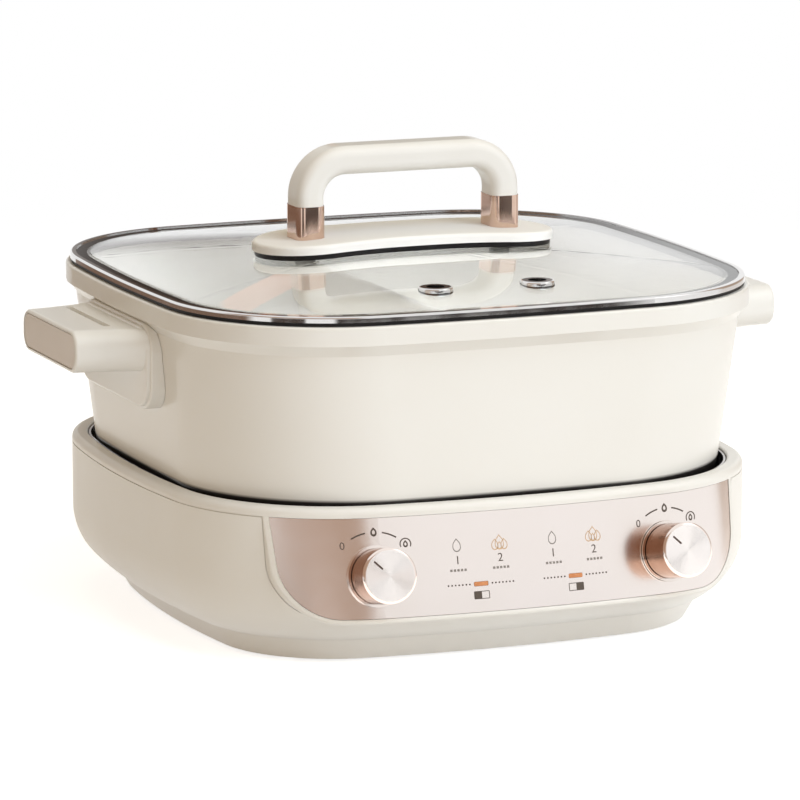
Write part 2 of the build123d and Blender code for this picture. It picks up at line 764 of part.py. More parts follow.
# ================================================================ knobs and switches
for side in (-1, 1):
    dial = knob_plane(side)
    name = side_name(side)

    with BuildPart() as bezel:
        with BuildSketch(dial.offset(-bezel_sink)):
            Circle(bezel_radius)
            Circle(neck_radius + neck_gap, mode=Mode.SUBTRACT)
        extrude(amount=bezel_floor)
        with BuildSketch(dial.offset(-bezel_sink)):
            Circle(bezel_radius)
            Circle(bezel_radius - bezel_wall, mode=Mode.SUBTRACT)
        extrude(amount=bezel_sink + bezel_rise)
    keep(f"knob_bezel_{name}", bezel.part)

    with BuildPart() as knob:
        with BuildSketch(dial.offset(knob_foot)):
            Circle(knob_radius)
        extrude(amount=knob_length)
        chamfer(faces().sort_by(outward(dial))[-1].edges(), knob_rim)
        with BuildSketch(dial.offset(knob_foot + knob_length - cap_pocket)):
            Circle(cap_radius + lens_gap)
        extrude(amount=cap_pocket, mode=Mode.SUBTRACT)
        with BuildSketch(dial.offset(knob_foot)):
            Circle(shaft_radius + shaft_gap)
        extrude(amount=shaft_grip, mode=Mode.SUBTRACT)
    keep(f"knob_{name}", knob.part)

    with BuildPart() as cap:
        with BuildSketch(dial.offset(knob_foot + knob_length - cap_pocket)):
            Circle(cap_radius)
        extrude(amount=cap_wall)
        with BuildSketch(dial.offset(knob_foot + knob_length - cap_pocket + cap_wall)):
            with PolarLocations((pointer_start + pointer_end) / 2, 1, start_angle=pointer_angle):
                SlotOverall(pointer_end - pointer_start, pointer_width)
        extrude(amount=-pointer_depth, mode=Mode.SUBTRACT)
    keep(f"knob_cap_{name}", cap.part)

    with BuildPart() as shaft:
        with BuildSketch(dial.offset(-switch_back - switch_depth + shaft_seat)):
            Circle(shaft_radius)
        extrude(amount=switch_back + switch_depth - shaft_seat + knob_foot + shaft_grip - shaft_gap)
    keep(f"switch_shaft_{name}", shaft.part)

    with BuildPart() as switch:
        with BuildSketch(dial.offset(-switch_back - switch_depth)):
            RectangleRounded(switch_width, switch_width, switch_round)
        extrude(amount=switch_depth)
        with BuildSketch(dial.offset(-switch_back)):
            Circle(neck_radius)
        extrude(amount=switch_back + neck_rise)
        with BuildSketch(dial.offset(neck_rise)):
            Circle(shaft_radius + shaft_gap)
        extrude(amount=shaft_seat - switch_back - switch_depth - neck_rise - shaft_gap, mode=Mode.SUBTRACT)
    keep(f"switch_{name}", switch.part)

    with BuildPart() as lens:
        with BuildSketch(lens_face.offset(-indicator_depth)):
            with Locations((side * indicator_spacing / 2, 0)):
                RectangleRounded(indicator_width, indicator_rise, indicator_round)
        extrude(amount=indicator_depth)
    keep(f"indicator_{name}", lens.part)

with BuildPart() as indicator_board:
    with BuildSketch(board_face):
        RectangleRounded(board_width, board_rise, board_round)
    extrude(amount=-board_wall)
keep("indicator_board", indicator_board.part)

# ================================================================ pan, heaters and sensor
with BuildPart() as heat_shield:
    for inset, floor, mode in ((0, pan_floor, Mode.ADD), (pan_wall, pan_floor + pan_wall, Mode.SUBTRACT)):
        with BuildSketch(Plane.XY.offset(floor)):
            base_outline(pan_floor_inset + inset)
        with BuildSketch(Plane.XY.offset(pan_shoulder)):
            base_outline(pan_half_inset + inset)
        loft(ruled=True, mode=mode)
        with BuildSketch(Plane.XY.offset(pan_shoulder)):
            base_outline(pan_half_inset + inset)
        extrude(amount=pan_top - pan_shoulder, mode=mode)
    with BuildSketch(Plane.XY.offset(pan_floor)):
        with Locations(*lead_holes):
            Circle(lead_hole_radius)
    extrude(amount=pan_wall, mode=Mode.SUBTRACT)
keep("heat_shield", heat_shield.part)

for side in (-1, 1):
    name = side_name(side)
    middle = side * heater_spacing / 2
    with BuildPart() as tube:
        with BuildLine(Plane((middle, 0, heater_foot))) as route:
            leg_foot = Line((-tube_span / 2, -tube_run / 2), (-tube_span / 2, tube_run / 2 - tube_span / 2))
            bend = TangentArc(leg_foot @ 1, (tube_span / 2, tube_run / 2 - tube_span / 2), tangent=leg_foot % 1)
            Line(bend @ 1, (tube_span / 2, -tube_run / 2))
        with BuildSketch(Plane(origin=route.line @ 0, z_dir=route.line % 0)):
            Circle(tube_radius)
        sweep(path=route.line)
    keep(f"heater_tube_{name}", tube.part)

    with BuildPart() as tube_room:
        with BuildSketch(Plane(origin=(route.line @ 0) - (route.line % 0) * tube_radius, z_dir=route.line % 0)):
            Circle(tube_radius + tube_gap)
        extrude(amount=2 * tube_radius)
        with BuildSketch(Plane(origin=route.line @ 0, z_dir=route.line % 0)):
            Circle(tube_radius + tube_gap)
        sweep(path=route.line)
    with BuildPart() as heater:
        with BuildSketch(Plane((middle, 0, heater_foot))):
            RectangleRounded(heater_width, heater_length, heater_corner)
        extrude(amount=heater_wall)
        chamfer(faces().sort_by(Axis.Z)[-1].edges(), heater_round)
        add(tube.part, mode=Mode.SUBTRACT)
        add(tube_room.part, mode=Mode.SUBTRACT)
    keep(f"heater_{name}", heater.part)

with BuildPart() as heater_posts:
    with BuildSketch(Plane.XY.offset(pan_floor + pan_wall)):
        for side in (-1, 1):
            with Locations((side * heater_spacing / 2, 0)):
                with GridLocations(heater_width - 2 * spacer_inset, heater_length - 2 * spacer_inset, 2, 2):
                    Circle(spacer_radius)
    extrude(amount=heater_foot - pan_floor - pan_wall)
keep("heater_posts", heater_posts.part)

with BuildPart() as thermal_cutouts:
    with BuildSketch(Plane.XY.offset(heater_foot - cutout_height)):
        with GridLocations(heater_spacing, 1, 2, 1):
            Circle(cutout_radius)
    extrude(amount=cutout_height)
keep("thermal_cutouts", thermal_cutouts.part)

with BuildPart() as sensor_holder:
    with BuildSketch(Plane.XY.offset(pan_floor + pan_wall)):
        Circle(holder_radius)
    extrude(amount=holder_height)
    with BuildSketch(Plane.XY.offset(holder_floor)):
        Circle(holder_radius - holder_wall)
    extrude(amount=holder_height, mode=Mode.SUBTRACT)
keep("sensor_holder", sensor_holder.part)

with BuildPart() as sensor_cap:
    with BuildSketch(Plane.XY.offset(sensor_top - sensor_height)):
        Circle(sensor_radius)
    extrude(amount=sensor_height)
    fillet(faces().sort_by(Axis.Z)[-1].edges(), sensor_wall / 2)
    with BuildSketch(Plane.XY.offset(sensor_top - sensor_height)):
        Circle(sensor_radius - sensor_wall)
    extrude(amount=sensor_height - sensor_wall, mode=Mode.SUBTRACT)
keep("sensor_cap", sensor_cap.part)

spring_foot = holder_floor + spring_wire + lens_gap
spring_height = sensor_top - sensor_wall - spring_wire - lens_gap - spring_foot
with BuildPart() as sensor_spring:
    with BuildLine(Plane.XY.offset(spring_foot)) as coil:
        Helix(pitch=spring_height / spring_turns, height=spring_height, radius=spring_radius)
    with BuildSketch(Plane(origin=coil.line @ 0, z_dir=coil.line % 0)):
        Circle(spring_wire)
    sweep(path=coil.line, is_frenet=True)
keep("sensor_spring", sensor_spring.part)

# ================================================================ inlet
with BuildPart() as inlet_socket:
    with BuildSketch(Plane.XZ.offset(-inlet_pad_face)):
        with Locations((0, inlet_height)):
            RectangleRounded(inlet_body_width, inlet_body_rise, inlet_round)
    extrude(amount=inlet_cavity_depth + inlet_back_wall - inlet_flange_wall)
    with BuildSketch(Plane.XZ.offset(-inlet_face)):
        with Locations((0, inlet_height)):
            RectangleRounded(inlet_flange_width, inlet_flange_height, inlet_round)
    extrude(amount=inlet_flange_wall)
    with BuildSketch(Plane.XZ.offset(-inlet_face)):
        with Locations((0, inlet_height)):
            RectangleRounded(inlet_cavity_width, inlet_cavity_rise, inlet_round - inlet_wall)
    extrude(amount=inlet_cavity_depth, mode=Mode.SUBTRACT)
    with BuildSketch(Plane.XZ.offset(-inlet_face)):
        with Locations(*pin_places):
            Rectangle(pin_width + 2 * lens_gap, pin_rise + 2 * lens_gap)
    extrude(amount=inlet_cavity_depth + inlet_back_wall, mode=Mode.SUBTRACT)
keep("inlet_socket", inlet_socket.part)

with BuildPart() as inlet_pins:
    with BuildSketch(Plane.XZ.offset(-inlet_face + inlet_cavity_depth - pin_length)):
        with Locations(*pin_places):
            Rectangle(pin_width, pin_rise)
    extrude(amount=pin_length + inlet_back_wall + pin_tail)
keep("inlet_pins", inlet_pins.part)

with BuildPart() as terminal_block:
    with BuildSketch(Plane((block_x, block_y, cover_floor))):
        Rectangle(block_width, block_depth)
    extrude(amount=block_height)
    with BuildSketch(Plane((block_x, block_y, cover_floor + block_height))):
        with GridLocations(block_width / block_ways, 1, block_ways, 1):
            Rectangle(block_slot, block_depth)
    extrude(amount=-block_slot, mode=Mode.SUBTRACT)
keep("terminal_block", terminal_block.part)

# ================================================================ pot
with BuildPart() as divider:
    with BuildSketch(Plane.YZ):
        with BuildLine():
            end = pot_half - wall_inset
            low = pot_floor_height + pot_floor_wall / 2
            high = divider_top + divider_end_rise
            Line((-end, low), (end, low))
            Line((end, low), (end, high))
            Spline((end, high), (end - divider_end_run, divider_top), tangents=((-1, 0), (-1, 0)))
            Line((end - divider_end_run, divider_top), (-end + divider_end_run, divider_top))
            Spline((-end + divider_end_run, divider_top), (-end, high), tangents=((-1, 0), (-1, 0)))
            Line((-end, high), (-end, low))
        make_face()
    extrude(amount=divider_wall / 2, both=True)
    top_edges = edges().filter_by(lambda edge: edge.center().Z > divider_top - tiny and abs(edge.center().X) > tiny)
    fillet(top_edges, divider_wall / 2 - divider_flat)
    add(pot_form(-pot_wall / 2), mode=Mode.INTERSECT)

with BuildPart() as pot_room:
    with BuildSketch(Plane.XY.offset(pot_floor_height)):
        pot_foot_outline(pot_wall)
    with BuildSketch(Plane.XY.offset(wall_top)):
        pot_outline(wall_inset + pot_wall)
    loft(ruled=True)
    split(bisect_by=Plane.XY.offset(pot_floor_height + pot_floor_wall), keep=Keep.TOP)
    fillet(faces().sort_by(Axis.Z)[0].edges(), pot_belly - pot_wall)
    with BuildSketch(Plane.XY.offset(wall_top)):
        pot_outline(wall_inset + pot_wall)
    extrude(amount=pot_rim_height - wall_top)

with BuildPart() as pot_body:
    add(pot_form(0))
    add(pot_room.part, mode=Mode.SUBTRACT)
    rim_edges = faces().sort_by(Axis.Z)[-1].edges()
    fillet(rim_edges, rim_round)
    add(divider.part)
    for side in (-1, 1):
        with BuildSketch(handle_plane(side, boss_face)):
            with Locations(*boss_places):
                Circle(boss_radius)
        extrude(amount=-boss_length)
        with BuildSketch(handle_plane(side, boss_face)):
            with Locations(*boss_places):
                Circle(long_screw_radius + thread_gap)
        extrude(amount=-pilot_depth, mode=Mode.SUBTRACT)
keep("pot_body", pot_body.part)

# ================================================================ side handles
pot_clearance = pot_form(fit_gap)
for side in (-1, 1):
    name = side_name(side)
    with BuildPart() as mount:
        with BuildSketch(handle_plane(side, mount_face)):
            with Locations((0, mount_middle)):
                RectangleRounded(2 * mount_half_length, mount_height, mount_corner)
        extrude(amount=-mount_room)
        fillet(faces().sort_by(outward(handle_plane(side, 0)))[-1].edges(), mount_round)
        add(pot_clearance, mode=Mode.SUBTRACT)
        with BuildSketch(handle_plane(side, mount_face)):
            with Locations(*boss_places):
                Circle(boss_radius + boss_gap)
        extrude(amount=-mount_room, mode=Mode.SUBTRACT)
    keep(f"side_mount_{name}", mount.part)

    with BuildPart() as handle:
        with BuildSketch(handle_plane(side, handle_root)):
            with Locations((0, mount_middle)):
                RectangleRounded(
                    2 * (mount_half_length - root_edge),
                    mount_height - 2 * root_edge,
                    mount_corner - root_edge,
                )
        extrude(amount=root_wall)
        fillet(faces().sort_by(outward(handle_plane(side, 0)))[-1].edges(), root_round)
        add(handle_bar(side))
        with BuildSketch(handle_plane(side, handle_reach)):
            with Locations((0, handle_middle)):
                RectangleRounded(
                    2 * (handle_half_length - cap_edge),
                    handle_height - 2 * cap_edge,
                    handle_corner - cap_edge,
                )
        extrude(amount=-cap_depth, mode=Mode.SUBTRACT)
        with BuildSketch(handle_plane(side, handle_reach)):
            with Locations(*boss_places):
                Circle(long_screw_head + boss_gap)
        extrude(amount=long_screw_seat - handle_reach, mode=Mode.SUBTRACT)
        with BuildSketch(handle_plane(side, handle_reach)):
            with Locations(*boss_places):
                Circle(long_screw_radius + fit_gap)
        extrude(amount=handle_root - handle_reach, mode=Mode.SUBTRACT)
    keep(f"side_handle_{name}", handle.part)

    with BuildPart() as cap:
        with BuildSketch(handle_plane(side, handle_reach - cap_depth)):
            with Locations((0, handle_middle)):
                RectangleRounded(
                    2 * (handle_half_length - cap_edge - cap_groove),
                    handle_height - 2 * cap_edge - 2 * cap_groove,
                    handle_corner - cap_edge - cap_groove,
                )
        extrude(amount=cap_thickness)
    keep(f"side_cap_{name}", cap.part)

with BuildPart() as side_screws:
    for side in (-1, 1):
        with BuildSketch(handle_plane(side, long_screw_seat)):
            with Locations(*boss_places):
                Circle(long_screw_head)
        extrude(amount=long_screw_head_height)
        with BuildSketch(handle_plane(side, long_screw_seat)):
            with Locations(*boss_places):
                Circle(long_screw_radius)
        extrude(amount=long_screw_tip - long_screw_seat)
keep("side_screws", side_screws.part)

# ================================================================ lid
vent_share = dome_share(vent_spacing / 2, vent_y)
vent_top = glass_top + dome_height(vent_share)
grip_share = dome_share(tiny, grip_spacing / 2 + washer_radius)
grip_glass = glass_foot + dome_height(grip_share) - curve_gap

with BuildPart() as lid_glass:
    with BuildSketch(Plane.XY.offset(glass_foot)):
        lid_outline(glass_inset)
    extrude(amount=glass_wall)
    add(lid_dome(glass_top))
    add(lid_dome(glass_foot), mode=Mode.SUBTRACT)
    with BuildSketch(Plane.XY.offset(glass_foot)):
        with GridLocations(grip_spacing, 1, 2, 1):
            Circle(lid_screw_radius + fit_gap)
    extrude(amount=dome_rise + glass_wall, mode=Mode.SUBTRACT)
    with BuildSketch(Plane.XY.offset(glass_foot)):
        with Locations(*vent_places):
            Circle(vent_barrel_radius + vent_gap)
    extrude(amount=dome_rise + glass_wall, mode=Mode.SUBTRACT)
    with BuildSketch(Plane.XY.offset(vent_top - vent_seat)):
        with Locations(*vent_places):
            Circle(vent_flange_radius + vent_gap)
    extrude(amount=dome_rise, mode=Mode.SUBTRACT)
    with BuildSketch(Plane.XY.offset(vent_top - glass_wall + vent_seat)):
        with Locations(*vent_places):
            Circle(vent_flange_radius + vent_gap)
    extrude(amount=-dome_rise, mode=Mode.SUBTRACT)
keep("lid_glass", lid_glass.part)

with BuildPart() as lid_rim:
    with BuildSketch(Plane.XY.offset(rim_foot)):
        lid_outline(0)
    extrude(amount=rim_top - rim_foot)
    top_edges = faces().sort_by(Axis.Z)[-1].edges()
    fillet(top_edges, band_round)
    with BuildSketch(Plane.XY.offset(rim_foot)):
        lid_outline(band_wall)
    extrude(amount=glass_top - rim_foot, mode=Mode.SUBTRACT)
    with BuildSketch(Plane.XY.offset(glass_top)):
        lid_outline(rim_width)
    extrude(amount=rim_lip, mode=Mode.SUBTRACT)
keep("lid_rim", lid_rim.part)

with BuildPart() as lid_seal:
    with BuildSketch(Plane.XY.offset(seal_foot)):
        lid_outline(seal_inset)
    extrude(amount=seal_rise)
    with BuildSketch(Plane.XY.offset(seal_foot)):
        lid_outline(seal_inset + seal_width)
    extrude(amount=seal_rise, mode=Mode.SUBTRACT)
    with BuildSketch(Plane.XY.offset(glass_foot)):
        lid_outline(band_wall)
    extrude(amount=seal_rise, mode=Mode.SUBTRACT)
    with BuildSketch(Plane.XY.offset(seal_foot)):
        lid_outline(seal_inset + seal_width - seal_lip_wall)
        with BuildSketch(mode=Mode.SUBTRACT):
            lid_outline(seal_inset + seal_width)
    extrude(amount=-seal_lip_drop)
keep("lid_seal", lid_seal.part)

for side, place in zip((-1, 1), vent_places):
    with BuildPart() as vent:
        with BuildSketch(Plane(place).offset(vent_top - vent_seat)):
            Circle(vent_flange_radius)
        extrude(amount=vent_seat + vent_flange_rise)
        fillet(faces().sort_by(Axis.Z)[-1].edges(), vent_round)
        with BuildSketch(Plane(place).offset(vent_top - glass_wall + vent_seat - vent_back_wall)):
            Circle(vent_back_radius)
        extrude(amount=vent_back_wall)
        with BuildSketch(Plane(place).offset(vent_top - glass_wall + vent_seat)):
            Circle(vent_barrel_radius)
        extrude(amount=glass_wall - 2 * vent_seat)
        with BuildSketch(Plane(place).offset(glass_foot - dome_rise)):
            Circle(vent_hole_radius)
        extrude(amount=glass_wall + 3 * dome_rise, mode=Mode.SUBTRACT)
    keep(f"vent_{side_name(side)}", vent.part)

with BuildPart() as plate_form:
    with BuildSketch(Plane.XZ):
        with Locations((0, plate_top - plate_camber)):
            Circle(plate_camber)
    extrude(amount=2 * plate_half_width, both=True)

with BuildPart() as handle_plate:
    with BuildSketch(Plane.XY.offset(glass_top + gasket_wall)):
        plate_outline(0)
    extrude(amount=plate_top - glass_top)
    add(plate_form.part, mode=Mode.INTERSECT)
    fillet(faces().sort_by(Axis.Z)[-1].edges(), plate_round)
    add(lid_dome(glass_top + gasket_wall), mode=Mode.SUBTRACT)
    with BuildSketch(Plane.XY.offset(ferrule_foot)):
        with GridLocations(grip_spacing, 1, 2, 1):
            RectangleRounded(ferrule_width + fit_gap, ferrule_depth + fit_gap, grip_round)
    extrude(amount=plate_top, mode=Mode.SUBTRACT)
    with BuildSketch(Plane.XY.offset(glass_top)):
        with GridLocations(grip_spacing, 1, 2, 1):
            Circle(lid_screw_radius + fit_gap)
    extrude(amount=plate_top, mode=Mode.SUBTRACT)
keep("handle_plate", handle_plate.part)

with BuildPart() as handle_gasket:
    with BuildSketch(Plane.XY.offset(glass_top)):
        plate_outline(gasket_inset)
    extrude(amount=plate_top - glass_top)
    add(lid_dome(glass_top + gasket_wall - curve_gap), mode=Mode.INTERSECT)
    add(lid_dome(glass_top + curve_gap), mode=Mode.SUBTRACT)
    with BuildSketch(Plane.XY.offset(glass_top)):
        with GridLocations(grip_spacing, 1, 2, 1):
            Circle(lid_screw_radius + fit_gap)
    extrude(amount=plate_top, mode=Mode.SUBTRACT)
keep("handle_gasket", handle_gasket.part)

with BuildPart() as handle_grip:
    bar = grip_top - grip_thickness / 2
    with BuildLine(Plane.XZ) as route:
        foot = grip_spacing / 2
        FilletPolyline(
            (-foot, ferrule_top),
            (-foot, bar),
            (foot, bar),
            (foot, ferrule_top),
            radius=grip_bend,
        )
    with BuildSketch(Plane((-foot, 0, ferrule_top))):
        RectangleRounded(grip_thickness, grip_depth, grip_round)
    sweep(path=route.line)
    with BuildSketch(Plane.XY.offset(ferrule_top)):
        with GridLocations(grip_spacing, 1, 2, 1):
            RectangleRounded(
                grip_thickness - 2 * ferrule_wall - 2 * tenon_gap,
                grip_depth - 2 * ferrule_wall - 2 * tenon_gap,
                tenon_round,
            )
    extrude(amount=ferrule_foot - ferrule_top)
    with BuildSketch(Plane.XY.offset(ferrule_foot)):
        with GridLocations(grip_spacing, 1, 2, 1):
            Circle(lid_screw_radius + thread_gap)
    extrude(amount=lid_screw_tip - ferrule_foot + fit_gap, mode=Mode.SUBTRACT)
keep("handle_grip", handle_grip.part)

for side in (-1, 1):
    with BuildPart() as ferrule:
        with BuildSketch(Plane((side * grip_spacing / 2, 0, ferrule_foot))):
            RectangleRounded(ferrule_width, ferrule_depth, grip_round)
            RectangleRounded(
                grip_thickness - 2 * ferrule_wall,
                grip_depth - 2 * ferrule_wall,
                tenon_round,
                mode=Mode.SUBTRACT,
            )
        extrude(amount=ferrule_top - ferrule_foot)
    keep(f"handle_ferrule_{side_name(side)}", ferrule.part)

with BuildPart() as handle_washers:
    with BuildSketch(Plane.XY.offset(grip_glass - washer_wall)):
        with GridLocations(grip_spacing, 1, 2, 1):
            Circle(washer_radius)
            Circle(lid_screw_radius + fit_gap, mode=Mode.SUBTRACT)
    extrude(amount=washer_wall)
keep("handle_washers", handle_washers.part)

with BuildPart() as handle_screws:
    with BuildSketch(Plane.XY.offset(grip_glass - washer_wall - lid_screw_head_height)):
        with GridLocations(grip_spacing, 1, 2, 1):
            Circle(lid_screw_head)
    extrude(amount=lid_screw_head_height)
    with BuildSketch(Plane.XY.offset(grip_glass - washer_wall)):
        with GridLocations(grip_spacing, 1, 2, 1):
            Circle(lid_screw_radius)
    extrude(amount=lid_screw_tip - grip_glass + washer_wall)
keep("handle_screws", handle_screws.part)

# ================================================================ export
boxes = [part.bounding_box() for part in pieces.values()]
front = min(box.min.Y for box in boxes)
back = max(box.max.Y for box in boxes)
shift = -(front + back) / 2
os.makedirs("parts", exist_ok=True)
for name, part in pieces.items():
    placed = Pos(0, shift, 0) * part
    placed.label = name
    export_step(placed, f"parts/{name}.step")
print(f"{len(pieces)} pieces, moved by {shift:.3f} along Y")
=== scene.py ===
# %% [markdown]
# # An electric hot pot with a lift-off glass lid
#
# The object is a square twin hot pot. A cream pot with a divider hangs in a heated base, a shallow
# glass dome covers it, and a rose-gold panel with two knobs leans out of the front of the base.
# The solids come from the CAD model and stay where they are. This lesson gives each of them a
# finish, and adds what is too fine for a solid: the spun faces of the knobs and the panel's print.

import json
import math

import bmesh
import bpy
from mathutils import Matrix, Vector
from mathutils.bvhtree import BVHTree


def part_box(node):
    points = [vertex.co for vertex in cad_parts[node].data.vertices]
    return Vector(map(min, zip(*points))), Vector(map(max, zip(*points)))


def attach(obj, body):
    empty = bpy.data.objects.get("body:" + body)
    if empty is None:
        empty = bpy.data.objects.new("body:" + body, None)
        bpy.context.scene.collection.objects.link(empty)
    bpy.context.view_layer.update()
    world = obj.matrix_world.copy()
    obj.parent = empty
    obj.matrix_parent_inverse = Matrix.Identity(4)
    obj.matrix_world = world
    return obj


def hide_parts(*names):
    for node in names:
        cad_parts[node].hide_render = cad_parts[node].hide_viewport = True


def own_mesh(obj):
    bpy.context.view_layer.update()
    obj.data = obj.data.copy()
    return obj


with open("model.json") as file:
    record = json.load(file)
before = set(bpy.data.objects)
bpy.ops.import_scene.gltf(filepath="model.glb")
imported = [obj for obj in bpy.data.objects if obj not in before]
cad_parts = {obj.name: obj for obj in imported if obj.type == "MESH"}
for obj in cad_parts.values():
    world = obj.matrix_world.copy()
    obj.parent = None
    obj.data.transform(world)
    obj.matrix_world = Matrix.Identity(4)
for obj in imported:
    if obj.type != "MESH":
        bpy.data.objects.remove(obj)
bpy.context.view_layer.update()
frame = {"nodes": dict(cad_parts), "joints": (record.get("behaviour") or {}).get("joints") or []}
nodes = frame["nodes"]
MM = 0.001
pot_axis = (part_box("pot_body")[0][1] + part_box("pot_body")[1][1]) / 2

# %% [markdown]
# ## Small helpers
#
# Every finish here starts from one Principled shader. Values that are the same all over go straight
# on its sockets. What varies is added by a few node recipes: a fine bump for the grain of a moulding
# or a coating, and a slow drift of colour, because no real moulding is one flat colour.
# All patterns read Object coordinates, in metres, so a scale of 1000 is a pattern of about 1 mm.


# %% Finishes: the Principled shader and its recipes
def finish(name, colour, roughness, **sockets):
    """A new material whose Principled shader has the given colour, roughness and other sockets."""
    material = bpy.data.materials.new(name)
    material.use_nodes = True
    shader = material.node_tree.nodes["Principled BSDF"]
    shader.inputs["Base Color"].default_value = (*colour, 1.0)
    shader.inputs["Roughness"].default_value = roughness
    for socket, value in sockets.items():
        shader.inputs[socket.replace("_", " ")].default_value = value
    return material


def add_node(material, kind, **settings):
    """A new node of the given kind in a material, with its settings."""
    node = material.node_tree.nodes.new(kind)
    for key, value in settings.items():
        setattr(node, key, value)
    return node


def noise_on(material, size, detail=3.0, stretch=(1, 1, 1)):
    """A noise of the given grain size in metres, read in Object coordinates."""
    links = material.node_tree.links
    place = add_node(material, "ShaderNodeTexCoord")
    mapping = add_node(material, "ShaderNodeMapping")
    mapping.inputs["Scale"].default_value = [way / size for way in stretch]
    noise = add_node(material, "ShaderNodeTexNoise")
    noise.inputs["Scale"].default_value = 1.0
    noise.inputs["Detail"].default_value = detail
    links.new(place.outputs["Object"], mapping.inputs["Vector"])
    links.new(mapping.outputs["Vector"], noise.inputs["Vector"])
    return noise.outputs["Fac"]


def grain(material, size, depth, stretch=(1, 1, 1)):
    """Adds a fine bump to a finish."""
    shader = material.node_tree.nodes["Principled BSDF"]
    bump = add_node(material, "ShaderNodeBump")
    bump.inputs["Strength"].default_value = 1.0
    bump.inputs["Distance"].default_value = depth
    material.node_tree.links.new(noise_on(material, size, stretch=stretch), bump.inputs["Height"])
    material.node_tree.links.new(bump.outputs["Normal"], shader.inputs["Normal"])


def drift(material, size, low, high, socket="Base Color", stretch=(1, 1, 1)):
    """Lets a finish drift between two colours, or two values of another socket."""
    shader = material.node_tree.nodes["Principled BSDF"]
    ramp = add_node(material, "ShaderNodeValToRGB")
    ends = ramp.color_ramp.elements
    for end, place, value in zip(ends, (0.3, 0.7), (low, high)):
        end.position = place
        end.color = (*value, 1.0) if isinstance(value, tuple) else (value, value, value, 1.0)
    material.node_tree.links.new(noise_on(material, size, 2.0, stretch), ramp.inputs["Fac"])
    material.node_tree.links.new(ramp.outputs["Color"], shader.inputs[socket])


def dress(material, *names):
    """Puts a finish on model nodes."""
    for name in names:
        for piece_slot in nodes[name].material_slots:
            piece_slot.material = material
    print(f"{material.name}: {', '.join(names)}")


sides = ("left", "right")


def both(stem):
    """The names of a left and right pair of nodes."""
    return [f"{stem}_{side}" for side in sides]


# %% [markdown]
# ## Cream mouldings and the coated pot
#
# The housing and handles are satin plastic with a very fine moulded grain. The pot is cast metal
# with a sprayed coating, which flows a little before it sets: its bump is wider and softer, like
# orange peel. A thin clear coat gives both the second, sharper highlight that such surfaces have.
# The plate under the lid's grip is a duller moulding without that coat.

# %% Cream finishes
housing_cream = finish("housing_cream", (0.83, 0.81, 0.765), 0.38, Coat_Weight=0.25, Coat_Roughness=0.18)
grain(housing_cream, 0.5 * MM, 0.004 * MM)
drift(housing_cream, 60 * MM, (0.822, 0.80, 0.752), (0.836, 0.818, 0.776))
dress(housing_cream, "side_shell", "top_ring", "bottom_cover")

pot_cream = finish("pot_cream", (0.83, 0.815, 0.775), 0.33, Coat_Weight=0.35, Coat_Roughness=0.12)
grain(pot_cream, 1.6 * MM, 0.006 * MM)
drift(pot_cream, 70 * MM, (0.823, 0.806, 0.764), (0.836, 0.822, 0.785))

# %% [markdown]
# The dark line in the gap round the pot is painted shade, laid on the pot's belly where it hangs in
# the base. The pot's one finish turns black below a height, with a soft edge, but only on faces that
# look outwards, so the inside of the pot stays cream.


# %% Painted shade on the pot's belly
def paint_gap_shade(material, low, high, inside, colour):
    """Paints shade on a finish: another colour below a height, on the faces that look away from a point
    inside.
    """
    tree = material.node_tree
    shader = tree.nodes["Principled BSDF"]
    cream = shader.inputs["Base Color"].links[0].from_socket
    place = add_node(material, "ShaderNodeTexCoord")
    height = add_node(material, "ShaderNodeSeparateXYZ")
    above = add_node(material, "ShaderNodeMapRange", interpolation_type="SMOOTHSTEP")
    above.inputs["From Min"].default_value, above.inputs["From Max"].default_value = low, high
    way = add_node(material, "ShaderNodeVectorMath", operation="SUBTRACT")
    way.inputs[1].default_value = inside
    facing = add_node(material, "ShaderNodeNewGeometry")
    turned = add_node(material, "ShaderNodeVectorMath", operation="DOT_PRODUCT")
    inner = add_node(material, "ShaderNodeMath", operation="LESS_THAN")
    inner.inputs[1].default_value = 0.0
    kept = add_node(material, "ShaderNodeMath", operation="MAXIMUM")
    mix = add_node(material, "ShaderNodeMix", data_type="RGBA")
    mix.inputs["A"].default_value = (*colour, 1)
    tree.links.new(place.outputs["Object"], height.inputs[0])
    tree.links.new(height.outputs["Z"], above.inputs["Value"])
    tree.links.new(place.outputs["Object"], way.inputs[0])
    tree.links.new(way.outputs[0], turned.inputs[0])
    tree.links.new(facing.outputs["True Normal"], turned.inputs[1])
    tree.links.new(turned.outputs["Value"], inner.inputs[0])
    tree.links.new(above.outputs["Result"], kept.inputs[0])
    tree.links.new(inner.outputs[0], kept.inputs[1])
    tree.links.new(kept.outputs[0], mix.inputs["Factor"])
    tree.links.new(cream, mix.inputs["B"])
    tree.links.new(mix.outputs["Result"], shader.inputs["Base Color"])


# Painted shade: below this height the pot's outer wall turns black, standing in for the shade in the gap
# round the pot.
gap_shade_edge, gap_shade_fade = 80.2 * MM, 1.0 * MM
inside_pot = (0, pot_axis, 120 * MM)
gap_shade_black = (0.016, 0.014, 0.013)
paint_gap_shade(pot_cream, gap_shade_edge - gap_shade_fade, gap_shade_edge + gap_shade_fade, inside_pot, gap_shade_black)
dress(pot_cream, "pot_body")

# %% Handles and their inlays
handle_cream = finish("handle_cream", (0.83, 0.815, 0.78), 0.34, Coat_Weight=0.3, Coat_Roughness=0.15)
grain(handle_cream, 0.5 * MM, 0.004 * MM)
drift(handle_cream, 50 * MM, (0.822, 0.805, 0.768), (0.836, 0.823, 0.79))
dress(handle_cream, "handle_grip", *both("side_handle"), *both("side_mount"))

plate_cream = finish("plate_cream", (0.93, 0.925, 0.905), 0.5, Specular_IOR_Level=0.08)
grain(plate_cream, 0.5 * MM, 0.004 * MM)
drift(plate_cream, 50 * MM, (0.924, 0.917, 0.895), (0.936, 0.932, 0.915))
dress(plate_cream, "handle_plate")

